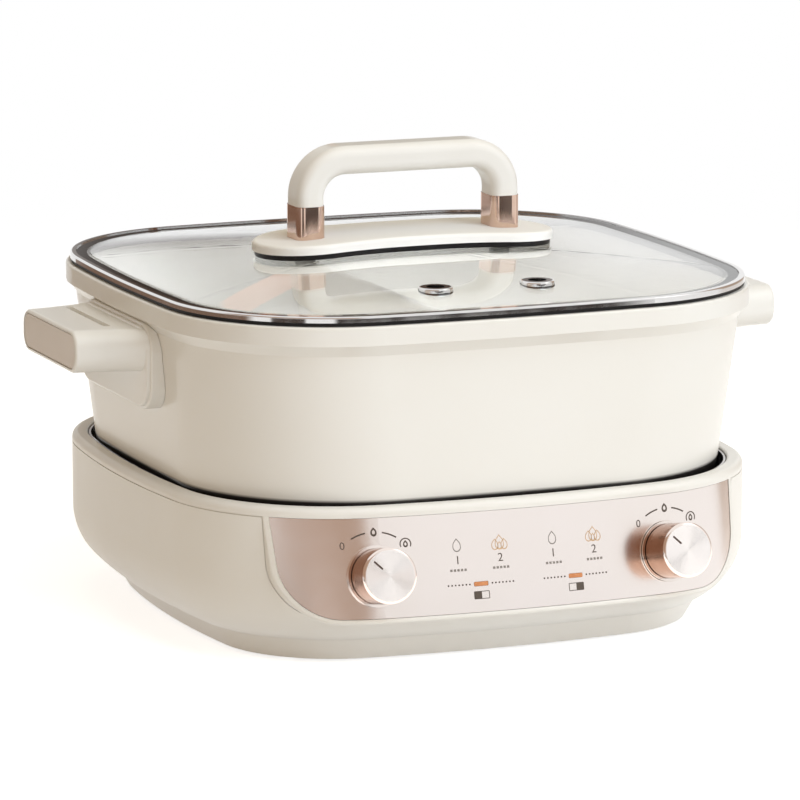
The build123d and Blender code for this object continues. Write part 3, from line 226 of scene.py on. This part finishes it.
inlay_grey = finish("inlay_grey", (0.84, 0.79, 0.77), 0.55)
grain(inlay_grey, 0.35 * MM, 0.01 * MM)
drift(inlay_grey, 30 * MM, (0.825, 0.775, 0.752), (0.852, 0.805, 0.785))
dress(inlay_grey, *both("side_cap"))

# %% [markdown]
# ## Metals
#
# The panel and the knobs are anodised aluminium in rose gold. Anodising keeps the metal's fine
# brushed lines, so the panel's bump is stretched along X, and that of the sleeves at the grip's feet
# along Z. The lid's band, the vents and the sensor cap are polished steel. The pan under the pot is
# bright rolled steel, a little rougher.

# %% Metal finishes
rose_panel = finish("rose_panel", (0.90, 0.83, 0.79), 0.20, Metallic=1.0)
grain(rose_panel, 0.25 * MM, 0.0012 * MM, stretch=(0.05, 1, 1))
drift(rose_panel, 45 * MM, (0.89, 0.82, 0.775), (0.91, 0.84, 0.805))
dress(rose_panel, "front_fascia")

rose_side = finish("rose_side", (0.44, 0.25, 0.17), 0.16, Metallic=1.0)
grain(rose_side, 0.3 * MM, 0.0015 * MM)
drift(rose_side, 8 * MM, (0.40, 0.225, 0.15), (0.48, 0.28, 0.195))
dress(rose_side, *both("knob"))

rose_sleeve = finish("rose_sleeve", (0.72, 0.52, 0.42), 0.10, Metallic=1.0)
grain(rose_sleeve, 0.3 * MM, 0.0012 * MM, stretch=(1, 1, 0.05))
drift(rose_sleeve, 6 * MM, (0.69, 0.49, 0.39), (0.75, 0.56, 0.46))
dress(rose_sleeve, *both("handle_ferrule"))

bezel_rose = finish("bezel_rose", (0.88, 0.80, 0.75), 0.14, Metallic=1.0)
drift(bezel_rose, 5 * MM, 0.11, 0.17, socket="Roughness")
dress(bezel_rose, *both("knob_bezel"))

polished_steel = finish("polished_steel", (0.74, 0.73, 0.72), 0.06, Metallic=1.0)
drift(polished_steel, 12 * MM, 0.045, 0.085, socket="Roughness")
dress(polished_steel, "lid_rim", "sensor_cap", *both("vent"))

rolled_steel = finish("rolled_steel", (0.60, 0.59, 0.575), 0.24, Metallic=1.0)
grain(rolled_steel, 0.5 * MM, 0.004 * MM, stretch=(1, 0.08, 1))
drift(rolled_steel, 25 * MM, 0.2, 0.3, socket="Roughness")
dress(rolled_steel, "heat_shield", "sensor_holder", "sensor_spring", *both("switch_shaft"))

screw_steel = finish("screw_steel", (0.52, 0.52, 0.51), 0.35, Metallic=1.0)
grain(screw_steel, 0.4 * MM, 0.01 * MM)
dress(screw_steel, "base_screws", "side_screws", "handle_screws")

cast_aluminium = finish("cast_aluminium", (0.58, 0.575, 0.565), 0.5, Metallic=1.0)
grain(cast_aluminium, 0.9 * MM, 0.05 * MM)
drift(cast_aluminium, 14 * MM, (0.54, 0.535, 0.525), (0.62, 0.615, 0.605))
dress(cast_aluminium, *both("heater"))

tube_steel = finish("tube_steel", (0.20, 0.185, 0.17), 0.45, Metallic=1.0)
grain(tube_steel, 0.6 * MM, 0.02 * MM)
drift(tube_steel, 9 * MM, (0.16, 0.145, 0.13), (0.25, 0.23, 0.215))
dress(tube_steel, *both("heater_tube"))

pin_brass = finish("pin_brass", (0.78, 0.64, 0.36), 0.22, Metallic=1.0)
grain(pin_brass, 0.3 * MM, 0.003 * MM)
dress(pin_brass, "inlet_pins")

# %% [markdown]
# ## Glass, rubber and the hidden pieces
#
# The lid's glass is clear and thick enough to refract, so it is a real transmitting shader and not
# a faded surface. It throws no shadow of its own, which lets the light reach the bottom of the pot,
# as it does through real glass. Silicone and rubber are black and dull, and each gets a fine grain.

# %% Glass, rubber, plastics
lid_clear = finish("lid_clear", (0.97, 0.97, 0.96), 0.0, Transmission_Weight=1.0, IOR=1.5)
drift(lid_clear, 90 * MM, 0.0, 0.012, socket="Roughness")
dress(lid_clear, "lid_glass")
nodes["lid_glass"].visible_shadow = False

silicone_black = finish("silicone_black", (0.012, 0.011, 0.011), 0.42, Specular_IOR_Level=0.15)
grain(silicone_black, 0.4 * MM, 0.01 * MM)
dress(silicone_black, "lid_seal", "handle_gasket", "handle_washers")

foot_rubber = finish("foot_rubber", (0.045, 0.043, 0.042), 0.75)
grain(foot_rubber, 0.6 * MM, 0.03 * MM)
drift(foot_rubber, 10 * MM, (0.035, 0.034, 0.033), (0.06, 0.058, 0.056))
dress(foot_rubber, "rubber_feet")

black_moulding = finish("black_moulding", (0.022, 0.022, 0.024), 0.5)
grain(black_moulding, 0.5 * MM, 0.02 * MM)
drift(black_moulding, 12 * MM, (0.018, 0.018, 0.02), (0.03, 0.03, 0.032))
dress(black_moulding, "inlet_socket", "terminal_block", "thermal_cutouts", *both("switch"))

ceramic_white = finish("ceramic_white", (0.82, 0.80, 0.75), 0.5)
grain(ceramic_white, 0.5 * MM, 0.02 * MM)
dress(ceramic_white, "heater_posts")

board_green = finish("board_green", (0.02, 0.12, 0.06), 0.35, Coat_Weight=0.4)
drift(board_green, 4 * MM, (0.016, 0.10, 0.05), (0.03, 0.15, 0.075))
dress(board_green, "indicator_board")

lens_amber = finish("lens_amber", (0.60, 0.22, 0.07), 0.25, Coat_Weight=0.6)
drift(lens_amber, 2 * MM, (0.55, 0.19, 0.055), (0.66, 0.27, 0.10))
dress(lens_amber, *both("indicator"))

# %% [markdown]
# ## Where the knobs sit
#
# Each knob's place and tilt come from its joint in the model: the joint's axis points straight out of
# the leaning panel. A frame of three directions at the joint, across, up and out, lets a piece be
# modelled lying flat and then be stood on the panel.


# %% Directions at each knob
def joint_named(name):
    """The model's joint of a given name."""
    for joint in frame["joints"]:
        if joint["name"] == name:
            return joint


def knob_frame(side):
    """Matrix that carries a flat piece to one knob: its X across, its Y up and its Z out."""
    joint = joint_named(f"knob_{side}_turn")
    out = Vector(joint["axis"]).normalized()
    across = Vector((0, 0, 1)).cross(out).normalized()
    up = out.cross(across)
    turn = Matrix((across, up, out)).transposed().to_4x4()
    return Matrix.Translation(Vector(joint["pos_m"])) @ turn


def reach(name, matrix):
    """A node's largest distance along a frame's Z, and its largest radius round it."""
    inverse = matrix.inverted()
    places = [inverse @ vertex.co for vertex in nodes[name].data.vertices]
    return max(p.z for p in places), max(math.hypot(p.x, p.y) for p in places)


for side in sides:
    print(side, "cap height and radius:", reach(f"knob_cap_{side}", knob_frame(side)))

# %% [markdown]
# ## Meshes
#
# A new piece is made in a bmesh and ends as an object at the origin, with its place in its mesh,
# like the model's own nodes. One helper finishes them all.


# %% From a bmesh to a piece
def piece_from(mesh, name, material, body, smooth=True):
    """Closes a bmesh into an object that rides on a body of the model."""
    bmesh.ops.recalc_face_normals(mesh, faces=mesh.faces)
    data = bpy.data.meshes.new(name)
    mesh.to_mesh(data)
    mesh.free()
    for polygon in data.polygons:
        polygon.use_smooth = smooth
    data.materials.append(material)
    piece = bpy.data.objects.new(name, data)
    bpy.context.collection.objects.link(piece)
    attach(piece, body)
    print(f"{name}: {len(data.polygons)} faces on {body}")
    return piece


# %% [markdown]
# ## The spun faces of the knobs
#
# The face of such a knob is turned on a lathe, which leaves fine round grooves. They are what makes
# two bright lobes run out from its middle. Instead of faking the lobes, the grooves are modelled:
# a wavy profile is spun once round the knob's axis, and smooth shading tilts the light in and out.

# %% Spun knob faces
spun_rose = finish("spun_rose", (0.96, 0.91, 0.88), 0.18, Metallic=1.0)
drift(spun_rose, 5 * MM, (0.95, 0.90, 0.868), (0.97, 0.92, 0.892))
pointer_brown = finish("pointer_brown", (0.07, 0.04, 0.03), 0.4)
grain(pointer_brown, 0.2 * MM, 0.005 * MM)

groove_count = 26
steps_per_groove = 4
groove_depth = 0.022 * MM
face_sink = 0.03 * MM
edge_drop = 0.25 * MM
weld = 0.001 * MM
full_turn = 2 * math.pi


def spun_face(side):
    """The grooved face of one knob, spun from a wavy profile."""
    stand = knob_frame(side)
    height, radius = reach(f"knob_cap_{side}", stand)
    mesh = bmesh.new()
    steps = groove_count * steps_per_groove
    profile = []
    for step in range(steps + 1):
        wave = math.sin(step * full_turn / steps_per_groove) * groove_depth
        profile.append(mesh.verts.new((radius * step / steps, 0, height - face_sink + wave)))
    profile.append(mesh.verts.new((radius, 0, height - edge_drop)))
    edges = [mesh.edges.new(pair) for pair in zip(profile, profile[1:])]
    bmesh.ops.spin(
        mesh,
        geom=profile + edges,
        axis=(0, 0, 1),
        cent=(0, 0, 0),
        angle=full_turn,
        steps=96,
        use_merge=True,
    )
    bmesh.ops.remove_doubles(mesh, verts=mesh.verts, dist=weld)
    bmesh.ops.transform(mesh, matrix=stand, verts=mesh.verts)
    piece = piece_from(mesh, f"knob_face_{side}", spun_rose, f"knob_{side}")
    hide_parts(f"knob_cap_{side}")


for side in sides:
    spun_face(side)

# %% [markdown]
# The pointer is a short filled groove near the edge of each face. At rest it points to the off mark.
# A thin bar is made lying along X, turned to its angle, and stood on the face.

# %% Pointers
pointer_angle = math.radians(136)
pointer_near, pointer_far = 4.6 * MM, 10.2 * MM
pointer_width, pointer_thick = 0.85 * MM, 0.1 * MM
pointer_lift = 0.07 * MM


def pointer(side):
    """The dark bar on one knob's face."""
    stand = knob_frame(side)
    height, _ = reach(f"knob_cap_{side}", stand)
    mesh = bmesh.new()
    bmesh.ops.create_cube(mesh, size=1.0)
    size = (pointer_far - pointer_near, pointer_width, pointer_thick)
    middle = ((pointer_near + pointer_far) / 2, 0, height + pointer_lift)
    bmesh.ops.scale(mesh, vec=size, verts=mesh.verts)
    bmesh.ops.translate(mesh, vec=middle, verts=mesh.verts)
    rises = {edge: abs(edge.verts[0].co.z - edge.verts[1].co.z) for edge in mesh.edges}
    uprights = [edge for edge, rise in rises.items() if rise > pointer_thick / 2]
    bmesh.ops.bevel(
        mesh,
        geom=uprights,
        offset=pointer_width * 0.45,
        segments=4,
        profile=0.5,
        affect="EDGES",
        material=-1,
    )
    bmesh.ops.transform(mesh, matrix=stand @ Matrix.Rotation(pointer_angle, 4, "Z"), verts=mesh.verts)
    piece = piece_from(mesh, f"knob_pointer_{side}", pointer_brown, f"knob_{side}", smooth=False)


for side in sides:
    pointer(side)

# %% [markdown]
# The bright edge between a knob's face and its side is a painted highlight: a thin ring of brighter
# metal is spun along that bevel, a few hundredths of a millimetre proud of it. The dark inside of
# each steam vent is painted shade, a black lining made in the same way: one upright line spun round the
# vent's own axis.


# %% Painted highlights on the knobs' bevels and painted shade in the vents
def spun_ring(name, outline, stand, material, body):
    """A thin shell spun from an outline of (radius, height) points round a frame's Z."""
    mesh = bmesh.new()
    line = [mesh.verts.new((radius, 0, height)) for radius, height in outline]
    edges = [mesh.edges.new(pair) for pair in zip(line, line[1:])]
    bmesh.ops.spin(
        mesh,
        geom=line + edges,
        axis=(0, 0, 1),
        cent=(0, 0, 0),
        angle=full_turn,
        steps=64,
        use_merge=True,
    )
    bmesh.ops.transform(mesh, matrix=stand, verts=mesh.verts)
    piece = piece_from(mesh, name, material, body)


# Painted highlight: a brighter copy of the rose gold, laid on each knob's bevel.
rim_highlight_rose = finish("rim_highlight_rose", (0.90, 0.80, 0.74), 0.12, Metallic=1.0)
drift(rim_highlight_rose, 3 * MM, 0.08, 0.16, socket="Roughness")
bevel_width = 0.9 * MM
bevel_lap = 0.3 * MM
proud = 0.03 * MM
for side in sides:
    stand = knob_frame(side)
    rim_height, rim_radius = reach(f"knob_{side}", stand)
    bevel = [
        (rim_radius - bevel_width - bevel_lap, rim_height + proud),
        (rim_radius - bevel_width + proud, rim_height + proud),
        (rim_radius + proud, rim_height - bevel_width + proud),
    ]
    spun_ring(f"knob_bevel_{side}", bevel, stand, rim_highlight_rose, f"knob_{side}")

# Painted shade: a black lining inside each vent stands in for the shade in its bore.
shade_lining_radius = 4.4 * MM
shade_lining_foot, shade_lining_head = 0.2 * MM, 0.9 * MM
for side in sides:
    low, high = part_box(f"vent_{side}")
    stand = Matrix.Translation(Vector(((low[0] + high[0]) / 2, (low[1] + high[1]) / 2, 0)))
    line = [(shade_lining_radius, low[2] + shade_lining_foot), (shade_lining_radius, high[2] - shade_lining_head)]
    spun_ring(f"vent_lining_{side}", line, stand, silicone_black, "lid")

# %% [markdown]
# ## The sensor's spring
#
# The pot's weight presses the sensor cap down, and the spring under it gets shorter. Here a copy of the
# model's spring mesh stands for it, and the model's own solid is hidden.


# %% A copy of the sensor's spring
def pressed_spring(name, source, body):
    """A copy of a spring of the model, which takes the place of the hidden original."""
    mesh = bmesh.new()
    mesh.from_mesh(nodes[source].data)
    bmesh.ops.remove_doubles(mesh, verts=mesh.verts, dist=weld)
    spring = piece_from(mesh, name, rolled_steel, body)
    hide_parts(source)
    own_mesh(spring)


pressed_spring("sensor_coil", "sensor_spring", "base")

# %% [markdown]
# ## Print on the panel
#
# The marks are screen-printed: flat, sharp and very thin. Each is drawn flat first, from a filled
# curve, a number or a spun strip, and then wrapped on the panel. To wrap it, each vertex is
# thrown straight back at the panel's own mesh and stopped a few hundredths of a millimetre before it.

# %% Wrapping flat marks on the panel
ink_brown = finish("ink_brown", (0.085, 0.065, 0.052), 0.5)
ink_grey = finish("ink_grey", (0.24, 0.215, 0.195), 0.5)
ink_gold = finish("ink_gold", (0.60, 0.40, 0.24), 0.45)
for ink in (ink_brown, ink_grey, ink_gold):
    grain(ink, 0.2 * MM, 0.002 * MM)

ink_lift = 0.06 * MM
panel_tree = BVHTree.FromObject(nodes["front_fascia"], bpy.context.evaluated_depsgraph_get())
panel_low, panel_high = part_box("front_fascia")


def panel_spot(x, z):
    """Point of the panel's face at the given x and height, and its normal."""
    point, normal, _, _ = panel_tree.ray_cast(Vector((x, panel_low[1] - 0.05, z)), Vector((0, 1, 0)))
    return point, -normal if normal.y > 0 else normal


bare_low, bare_high = panel_spot(0, 35 * MM)[0], panel_spot(0, 65 * MM)[0]
lean = math.atan2(bare_high.y - bare_low.y, bare_high.z - bare_low.z)
print("panel leans", round(math.degrees(lean), 2), "degrees")


def wrap(mesh, x, z):
    """Lays a flat bmesh on the panel with its origin at the given x and height."""
    for vertex in mesh.verts:
        u, v, _ = vertex.co
        point, normal = panel_spot(x + u, z + v * math.cos(lean))
        vertex.co = point + normal * ink_lift


def flat_mesh(curve_data):
    """A bmesh of a flat curve or text."""
    holder = bpy.data.objects.new("holder", curve_data)
    bpy.context.collection.objects.link(holder)
    data = bpy.data.meshes.new_from_object(holder)
    mesh = bmesh.new()
    mesh.from_mesh(data)
    bpy.data.objects.remove(holder)
    bpy.data.curves.remove(curve_data)
    bpy.data.meshes.remove(data)
    return mesh


def print_mark(mesh, name, x, z, ink=ink_brown):
    """Wraps a flat mark on the panel and files it as a piece of the base."""
    wrap(mesh, x, z)
    piece = piece_from(mesh, name, ink, "base", smooth=False)


# %% [markdown]
# A flame is a closed curve of five points with a smaller one inside it, so that it reads as a line
# drawing. Flames, plain numbers, bars and short arcs are all this panel needs.

# %% Flames and numbers
flame_points = [(0.0, 1.0), (0.62, 0.1), (0.36, -0.78), (-0.36, -0.78), (-0.62, 0.1)]


def flame(height, wall=0.26, width=1.0):
    """Flat line drawing of one flame."""
    data = bpy.data.curves.new("flame", "CURVE")
    data.dimensions = "2D"
    data.fill_mode = "BOTH"
    data.resolution_u = 6
    for scale in (1.0, 1.0 - 2 * wall):
        loop = data.splines.new("BEZIER")
        loop.bezier_points.add(len(flame_points) - 1)
        for spot, (x, y) in zip(loop.bezier_points, flame_points):
            spot.co = (x * width * scale * height / 2, y * scale * height / 2, 0)
            spot.handle_left_type = spot.handle_right_type = "AUTO"
        loop.bezier_points[0].handle_left_type = loop.bezier_points[0].handle_right_type = "VECTOR"
        loop.use_cyclic_u = True
    return flat_mesh(data)


def number(text, height):
    """Flat plain number, centred on its place."""
    data = bpy.data.curves.new("number", "FONT")
    data.body = text
    data.size = height * 1.4
    data.align_x = "CENTER"
    data.align_y = "CENTER"
    data.resolution_u = 3
    return flat_mesh(data)


def bar(width, height):
    """Flat bar."""
    mesh = bmesh.new()
    bmesh.ops.create_grid(mesh, x_segments=6, y_segments=1, size=0.5)
    bmesh.ops.scale(mesh, vec=(width, height, 1), verts=mesh.verts)
    return mesh


def arc(radius, width, start, sweep):
    """Flat strip along a circle, spun from one short edge."""
    mesh = bmesh.new()
    ends = [mesh.verts.new((radius + offset, 0, 0)) for offset in (-width / 2, width / 2)]
    bmesh.ops.rotate(mesh, verts=ends, matrix=Matrix.Rotation(math.radians(start), 3, "Z"))
    edge = mesh.edges.new(ends)
    bmesh.ops.spin(
        mesh,
        geom=ends + [edge],
        axis=(0, 0, 1),
        cent=(0, 0, 0),
        angle=math.radians(sweep),
        steps=10,
        use_merge=False,
    )
    return mesh


def join(meshes, offsets):
    """One bmesh of several, each moved by its offset."""
    whole = bmesh.new()
    for mesh, (x, y) in zip(meshes, offsets):
        bmesh.ops.translate(mesh, vec=(x, y, 0), verts=mesh.verts)
        data = bpy.data.meshes.new("part")
        mesh.to_mesh(data)
        mesh.free()
        whole.from_mesh(data)
        bpy.data.meshes.remove(data)
    return whole


# %% Marks round each knob
dial_radius = 20.5 * MM
off_angle, low_angle, high_angle = 136, 90, 44
dash_gap, dash_sweep = 11, 20
stroke = 0.7 * MM


def on_dial(angle):
    """Place on the circle of marks round a knob."""
    return dial_radius * math.cos(math.radians(angle)), dial_radius * math.sin(math.radians(angle))


for side in sides:
    x, _, z = joint_named(f"knob_{side}_turn")["pos_m"]
    dial = join(
        [
            number("0", 3.6 * MM),
            flame(4.6 * MM),
            flame(3.6 * MM),
            arc(2.6 * MM, stroke * 0.8, -30, 240),
            arc(dial_radius, stroke, low_angle + dash_gap + dash_sweep, -dash_sweep),
            arc(dial_radius, stroke, low_angle - dash_gap, -dash_sweep),
        ],
        [on_dial(off_angle), on_dial(low_angle), on_dial(high_angle), on_dial(high_angle), (0, 0), (0, 0)],
    )
    print_mark(dial, f"dial_print_{side}", x, z)

# %% Marks of the two heat levels for each half of the pot
group_x = 24 * MM
icon_x = 10.6 * MM
icon_z, number_z, dashes_z, lamp_z, label_z = 59.6 * MM, 52.7 * MM, 48.3 * MM, 41.5 * MM, 36.4 * MM
low_flame = 6.8 * MM
high_flames = [7.6 * MM, 5.6 * MM, 5.6 * MM, 4.0 * MM]
number_height = 4.0 * MM
dot, first_dot, dots_each_way = 0.75 * MM, 5.6 * MM, 7
dash, dashes_each_way = 1.15 * MM, 2
pitch = 1.75 * MM
line = 0.35 * MM
label_width, label_height = 7.4 * MM, 3.4 * MM

for sign, side in ((-1, "left"), (1, "right")):
    centre = sign * group_x
    print_mark(flame(low_flame, 0.09, 0.92), f"low_flame_{side}", centre - icon_x, icon_z, ink_grey)
    walls, widths = (0.08, 0.10, 0.10, 0.14), (0.9, 0.95, 0.95, 0.8)
    flames = [flame(*shape) for shape in zip(high_flames, walls, widths)]
    spots = [(0, 0), (-2.3 * MM, -0.9 * MM), (2.3 * MM, -0.9 * MM), (0, -1.4 * MM)]
    print_mark(join(flames, spots), f"high_flames_{side}", centre + icon_x, icon_z, ink_gold)
    for text, offset in (("1", -icon_x), ("2", icon_x)):
        print_mark(number(text, number_height), f"level_{text}_{side}", centre + offset, number_z)
        spots = [(step * pitch, 0) for step in range(-dashes_each_way, dashes_each_way + 1)]
        dashes = join([bar(dash, dash) for _ in spots], spots)
        print_mark(dashes, f"dashes_{text}_{side}", centre + offset, dashes_z, ink_grey)
    spots = [(way * (first_dot + pitch * step), 0) for way in (-1, 1) for step in range(dots_each_way)]
    print_mark(join([bar(dot, dot) for _ in spots], spots), f"dots_{side}", centre, lamp_z)
    half, rise = label_width / 2, label_height / 2
    lying, standing = (label_width, line), (line, label_height)
    bars = [bar(*size) for size in (lying, lying, standing, standing, (half, label_height))]
    spots = [(0, rise), (0, -rise), (-half, 0), (half, 0), (sign * half / 2, 0)]
    print_mark(join(bars, spots), f"half_sign_{side}", centre, label_z)

# %% [markdown]
# ## Studio
#
# The object stands on a plain pale floor. A large soft key lamp from the right and front gives the
# bright faces. Two lamps overhead light the lid, a low one fills the base, and a weak warm one from
# the left tints the shaded side.

# %% Floor and surroundings
light_path_rays = ("Is Camera Ray", "Is Glossy Ray", "Is Transmission Ray")


def seen_or_mirrored(tree):
    """1 for rays from the camera, or mirrored or refracted by the object, and 0 for light on it."""
    path = tree.nodes.new("ShaderNodeLightPath")
    total = path.outputs[light_path_rays[0]]
    for name in light_path_rays[1:]:
        larger = tree.nodes.new("ShaderNodeMath")
        larger.operation = "MAXIMUM"
        tree.links.new(total, larger.inputs[0])
        tree.links.new(path.outputs[name], larger.inputs[1])
        total = larger.outputs[0]
    return total


floor_half = 3
floor_glow = 0.72
fade_start, fade_end = 0.45, 1.3

floor_white = finish("floor_white", (0.86, 0.86, 0.86), 0.6, Emission_Color=(1, 1, 1, 1))
tree = floor_white.node_tree
surface = tree.nodes["Principled BSDF"]
glow = add_node(floor_white, "ShaderNodeMath", operation="MULTIPLY")
glow.inputs[1].default_value = floor_glow
tree.links.new(seen_or_mirrored(tree), glow.inputs[0])
tree.links.new(glow.outputs[0], surface.inputs["Emission Strength"])

place = add_node(floor_white, "ShaderNodeTexCoord")
distance = add_node(floor_white, "ShaderNodeVectorMath", operation="LENGTH")
fade_out = add_node(floor_white, "ShaderNodeMapRange", interpolation_type="SMOOTHSTEP")
fade_out.inputs["From Min"].default_value, fade_out.inputs["From Max"].default_value = fade_start, fade_end
clear = add_node(floor_white, "ShaderNodeBsdfTransparent")
blend = add_node(floor_white, "ShaderNodeMixShader")
tree.links.new(place.outputs["Object"], distance.inputs[0])
tree.links.new(distance.outputs["Value"], fade_out.inputs["Value"])
tree.links.new(fade_out.outputs["Result"], blend.inputs["Fac"])
tree.links.new(surface.outputs[0], blend.inputs[1])
tree.links.new(clear.outputs[0], blend.inputs[2])
tree.links.new(blend.outputs[0], tree.nodes["Material Output"].inputs["Surface"])

floor_mesh = bmesh.new()
bmesh.ops.create_grid(floor_mesh, x_segments=1, y_segments=1, size=floor_half)
floor_data = bpy.data.meshes.new("floor")
floor_mesh.to_mesh(floor_data)
floor_mesh.free()
floor_data.materials.append(floor_white)
floor = bpy.data.objects.new("floor", floor_data)
bpy.context.collection.objects.link(floor)

world = bpy.data.worlds.new("studio")
bpy.context.scene.world = world
world.use_nodes = True
tree = world.node_tree
light_on_object = tree.nodes["Background"]
light_on_object.inputs["Color"].default_value = (0.90, 0.68, 0.42, 1)
light_on_object.inputs["Strength"].default_value = 0.22
backdrop = tree.nodes.new("ShaderNodeBackground")
backdrop.inputs["Color"].default_value = (1, 1, 1, 1)
backdrop.inputs["Strength"].default_value = 1.0
choose = tree.nodes.new("ShaderNodeMixShader")
tree.links.new(seen_or_mirrored(tree), choose.inputs["Fac"])
tree.links.new(light_on_object.outputs[0], choose.inputs[1])
tree.links.new(backdrop.outputs[0], choose.inputs[2])
tree.links.new(choose.outputs[0], tree.nodes["World Output"].inputs["Surface"])


# %% Lamps
def lamp(name, place, target, size, energy, colour):
    """A square soft lamp that looks at a target."""
    data = bpy.data.lights.new(name, "AREA")
    data.shape = "SQUARE"
    data.size = size
    data.energy = energy
    data.color = colour
    holder = bpy.data.objects.new(name, data)
    bpy.context.collection.objects.link(holder)
    holder.location = place
    holder.rotation_euler = (Vector(target) - Vector(place)).to_track_quat("-Z", "Y").to_euler()
    holder.visible_glossy = False
    print(f"{name}: {energy} W, {size} m")


middle = (0, 0, 0.1)
lamp("key", (1.35, -1.9, 0.8), middle, 1.1, 24, (0.98, 0.99, 1))
lamp("top", (0.2, 0.1, 2.0), middle, 1.6, 9, (1, 0.88, 0.62))
lamp("top_front", (0.3, -1.1, 1.7), middle, 1.4, 18, (0.80, 0.90, 1))
lamp("low_fill", (-0.7, -1.7, 0.06), (0, 0, 0.05), 0.8, 5, (0.90, 0.96, 1))
lamp("warm_left", (-1.8, -0.8, 0.7), middle, 1.2, 4.2, (1, 0.66, 0.34))

# %% [markdown]
# ## Cards for the metal and the glass
#
# Polished metal has no look of its own: it shows what stands round it. A product studio therefore
# sets up dark, brown and bright cards just outside the view. These do the same. Only mirrored rays
# meet them, so they throw no shadow and take no light from the cream pieces. Each card is a strip of
# a cylinder round the object, and its tone fades towards its edges.


# %% Reflection cards
def card_tone(name, colour, fade):
    """A plain glow that fades out near the edges of its UV square."""
    material = bpy.data.materials.new(name)
    material.use_nodes = True
    links = material.node_tree.links
    material.node_tree.nodes.clear()
    place = add_node(material, "ShaderNodeUVMap", uv_map="card")
    split = add_node(material, "ShaderNodeSeparateXYZ")
    links.new(place.outputs["UV"], split.inputs[0])
    cover = add_node(material, "ShaderNodeMath", operation="MULTIPLY")
    for axis, factor in zip(("X", "Y"), cover.inputs):
        ramp = add_node(material, "ShaderNodeValToRGB")
        ramp.color_ramp.interpolation = "EASE"
        stops = ramp.color_ramp.elements
        stops[0].position, stops[0].color = 0.0, (0, 0, 0, 1)
        stops[1].position, stops[1].color = fade, (1, 1, 1, 1)
        for position, value in ((1 - fade, 1), (1.0, 0)):
            stops.new(position).color = (value, value, value, 1)
        links.new(split.outputs[axis], ramp.inputs["Fac"])
        links.new(ramp.outputs["Color"], factor)
    tone = add_node(material, "ShaderNodeEmission")
    tone.inputs["Color"].default_value = (*colour, 1)
    clear = add_node(material, "ShaderNodeBsdfTransparent")
    mix = add_node(material, "ShaderNodeMixShader")
    output = add_node(material, "ShaderNodeOutputMaterial")
    links.new(cover.outputs[0], mix.inputs["Fac"])
    links.new(clear.outputs[0], mix.inputs[1])
    links.new(tone.outputs[0], mix.inputs[2])
    links.new(mix.outputs[0], output.inputs["Surface"])
    return material


def card(name, azimuths, elevations, colour, fade=0.2, radius=3.0, slant=0.0):
    """A curved card between two azimuths and elevations in degrees; 0 is the front, + the right."""
    low, high = (radius * math.tan(math.radians(angle)) for angle in elevations)
    start, span = math.radians(azimuths[0] - 90), math.radians(azimuths[1] - azimuths[0])
    slack = 0.01

    def share(place):
        """How far along the card a point lies, from 0 to 1."""
        turn = math.atan2(place.y, place.x) - start
        return ((turn + slack) % full_turn - slack) / span

    mesh = bmesh.new()
    foot = (radius * math.cos(start), radius * math.sin(start))
    ends = [mesh.verts.new((*foot, height)) for height in (low, high)]
    edge = mesh.edges.new(ends)
    bmesh.ops.spin(
        mesh,
        geom=ends + [edge],
        axis=(0, 0, 1),
        cent=(0, 0, 0),
        angle=span,
        steps=24,
        use_merge=False,
    )
    layer = mesh.loops.layers.uv.new("card")
    for face in mesh.faces:
        for loop in face.loops:
            place = loop.vert.co
            loop[layer].uv = (share(place), (place.z - low) / (high - low))
    for vertex in mesh.verts:
        vertex.co.z += slant * share(vertex.co)
    data = bpy.data.meshes.new(name)
    mesh.to_mesh(data)
    mesh.free()
    data.materials.append(card_tone(name, colour, fade))
    piece = bpy.data.objects.new(name, data)
    bpy.context.collection.objects.link(piece)
    piece.visible_camera = piece.visible_diffuse = piece.visible_shadow = False
    piece.visible_transmission = piece.visible_volume_scatter = False
    print(f"{name}: azimuth {azimuths}, elevation {elevations}")


card("card_front_left", (-100, 6), (3, 50), (0.44, 0.30, 0.22), fade=0.12)
card("card_right_end", (84, 140), (-12, 45), (0.50, 0.38, 0.30))
card("card_bright", (38, 80), (25, 60), (2.2, 2.2, 2.2), fade=0.3)
card("card_back", (152, 168), (5, 28), (0.10, 0.07, 0.055), fade=0.3)
card("card_bronze", (160.5, 164.5), (12, 19), (0.55, 0.20, 0.08), fade=0.12, radius=2.9, slant=0.5)
card("card_low_dark", (-22, 31), (2.2, 6.6), (0.035, 0.025, 0.022), fade=0.08, radius=0.85)
card("card_low_streak", (-58, -36), (2.2, 6.6), (0.05, 0.03, 0.022), fade=0.1, radius=0.85)
card("card_low_brown", (-165, -66), (1, 6.6), (0.22, 0.14, 0.10), fade=0.08, radius=0.85)

# %% [markdown]
# ## Camera
#
# The camera stands a little to the left of the front and looks slightly down through a long lens.

# %% Camera: azimuth and elevation in degrees, distance in metres, offset in pixels
camera_azimuth = math.radians(-21.98)
camera_elevation = math.radians(10.65)
camera_distance = 2.683
focal_pixels = 5460
picture_side = 800
sensor_width = 36
centre_offset = (3.2, 1.0)
camera_target = Vector((0, pot_axis, 0.1))

camera_data = bpy.data.cameras.new("camera")
camera_data.sensor_width = sensor_width
camera_data.lens = focal_pixels * sensor_width / picture_side
camera_data.shift_x = -centre_offset[0] / picture_side
camera_data.shift_y = -centre_offset[1] / picture_side
camera_data.clip_end = 100
camera = bpy.data.objects.new("camera", camera_data)
bpy.context.collection.objects.link(camera)
way = Vector(
    (
        math.sin(camera_azimuth) * math.cos(camera_elevation),
        -math.cos(camera_azimuth) * math.cos(camera_elevation),
        math.sin(camera_elevation),
    )
)
camera.location = camera_target + way * camera_distance
camera.rotation_euler = (-way).to_track_quat("-Z", "Y").to_euler()
bpy.context.scene.camera = camera
bpy.context.scene.view_settings.view_transform = "Standard"
print("lens", round(camera_data.lens, 1), "mm")
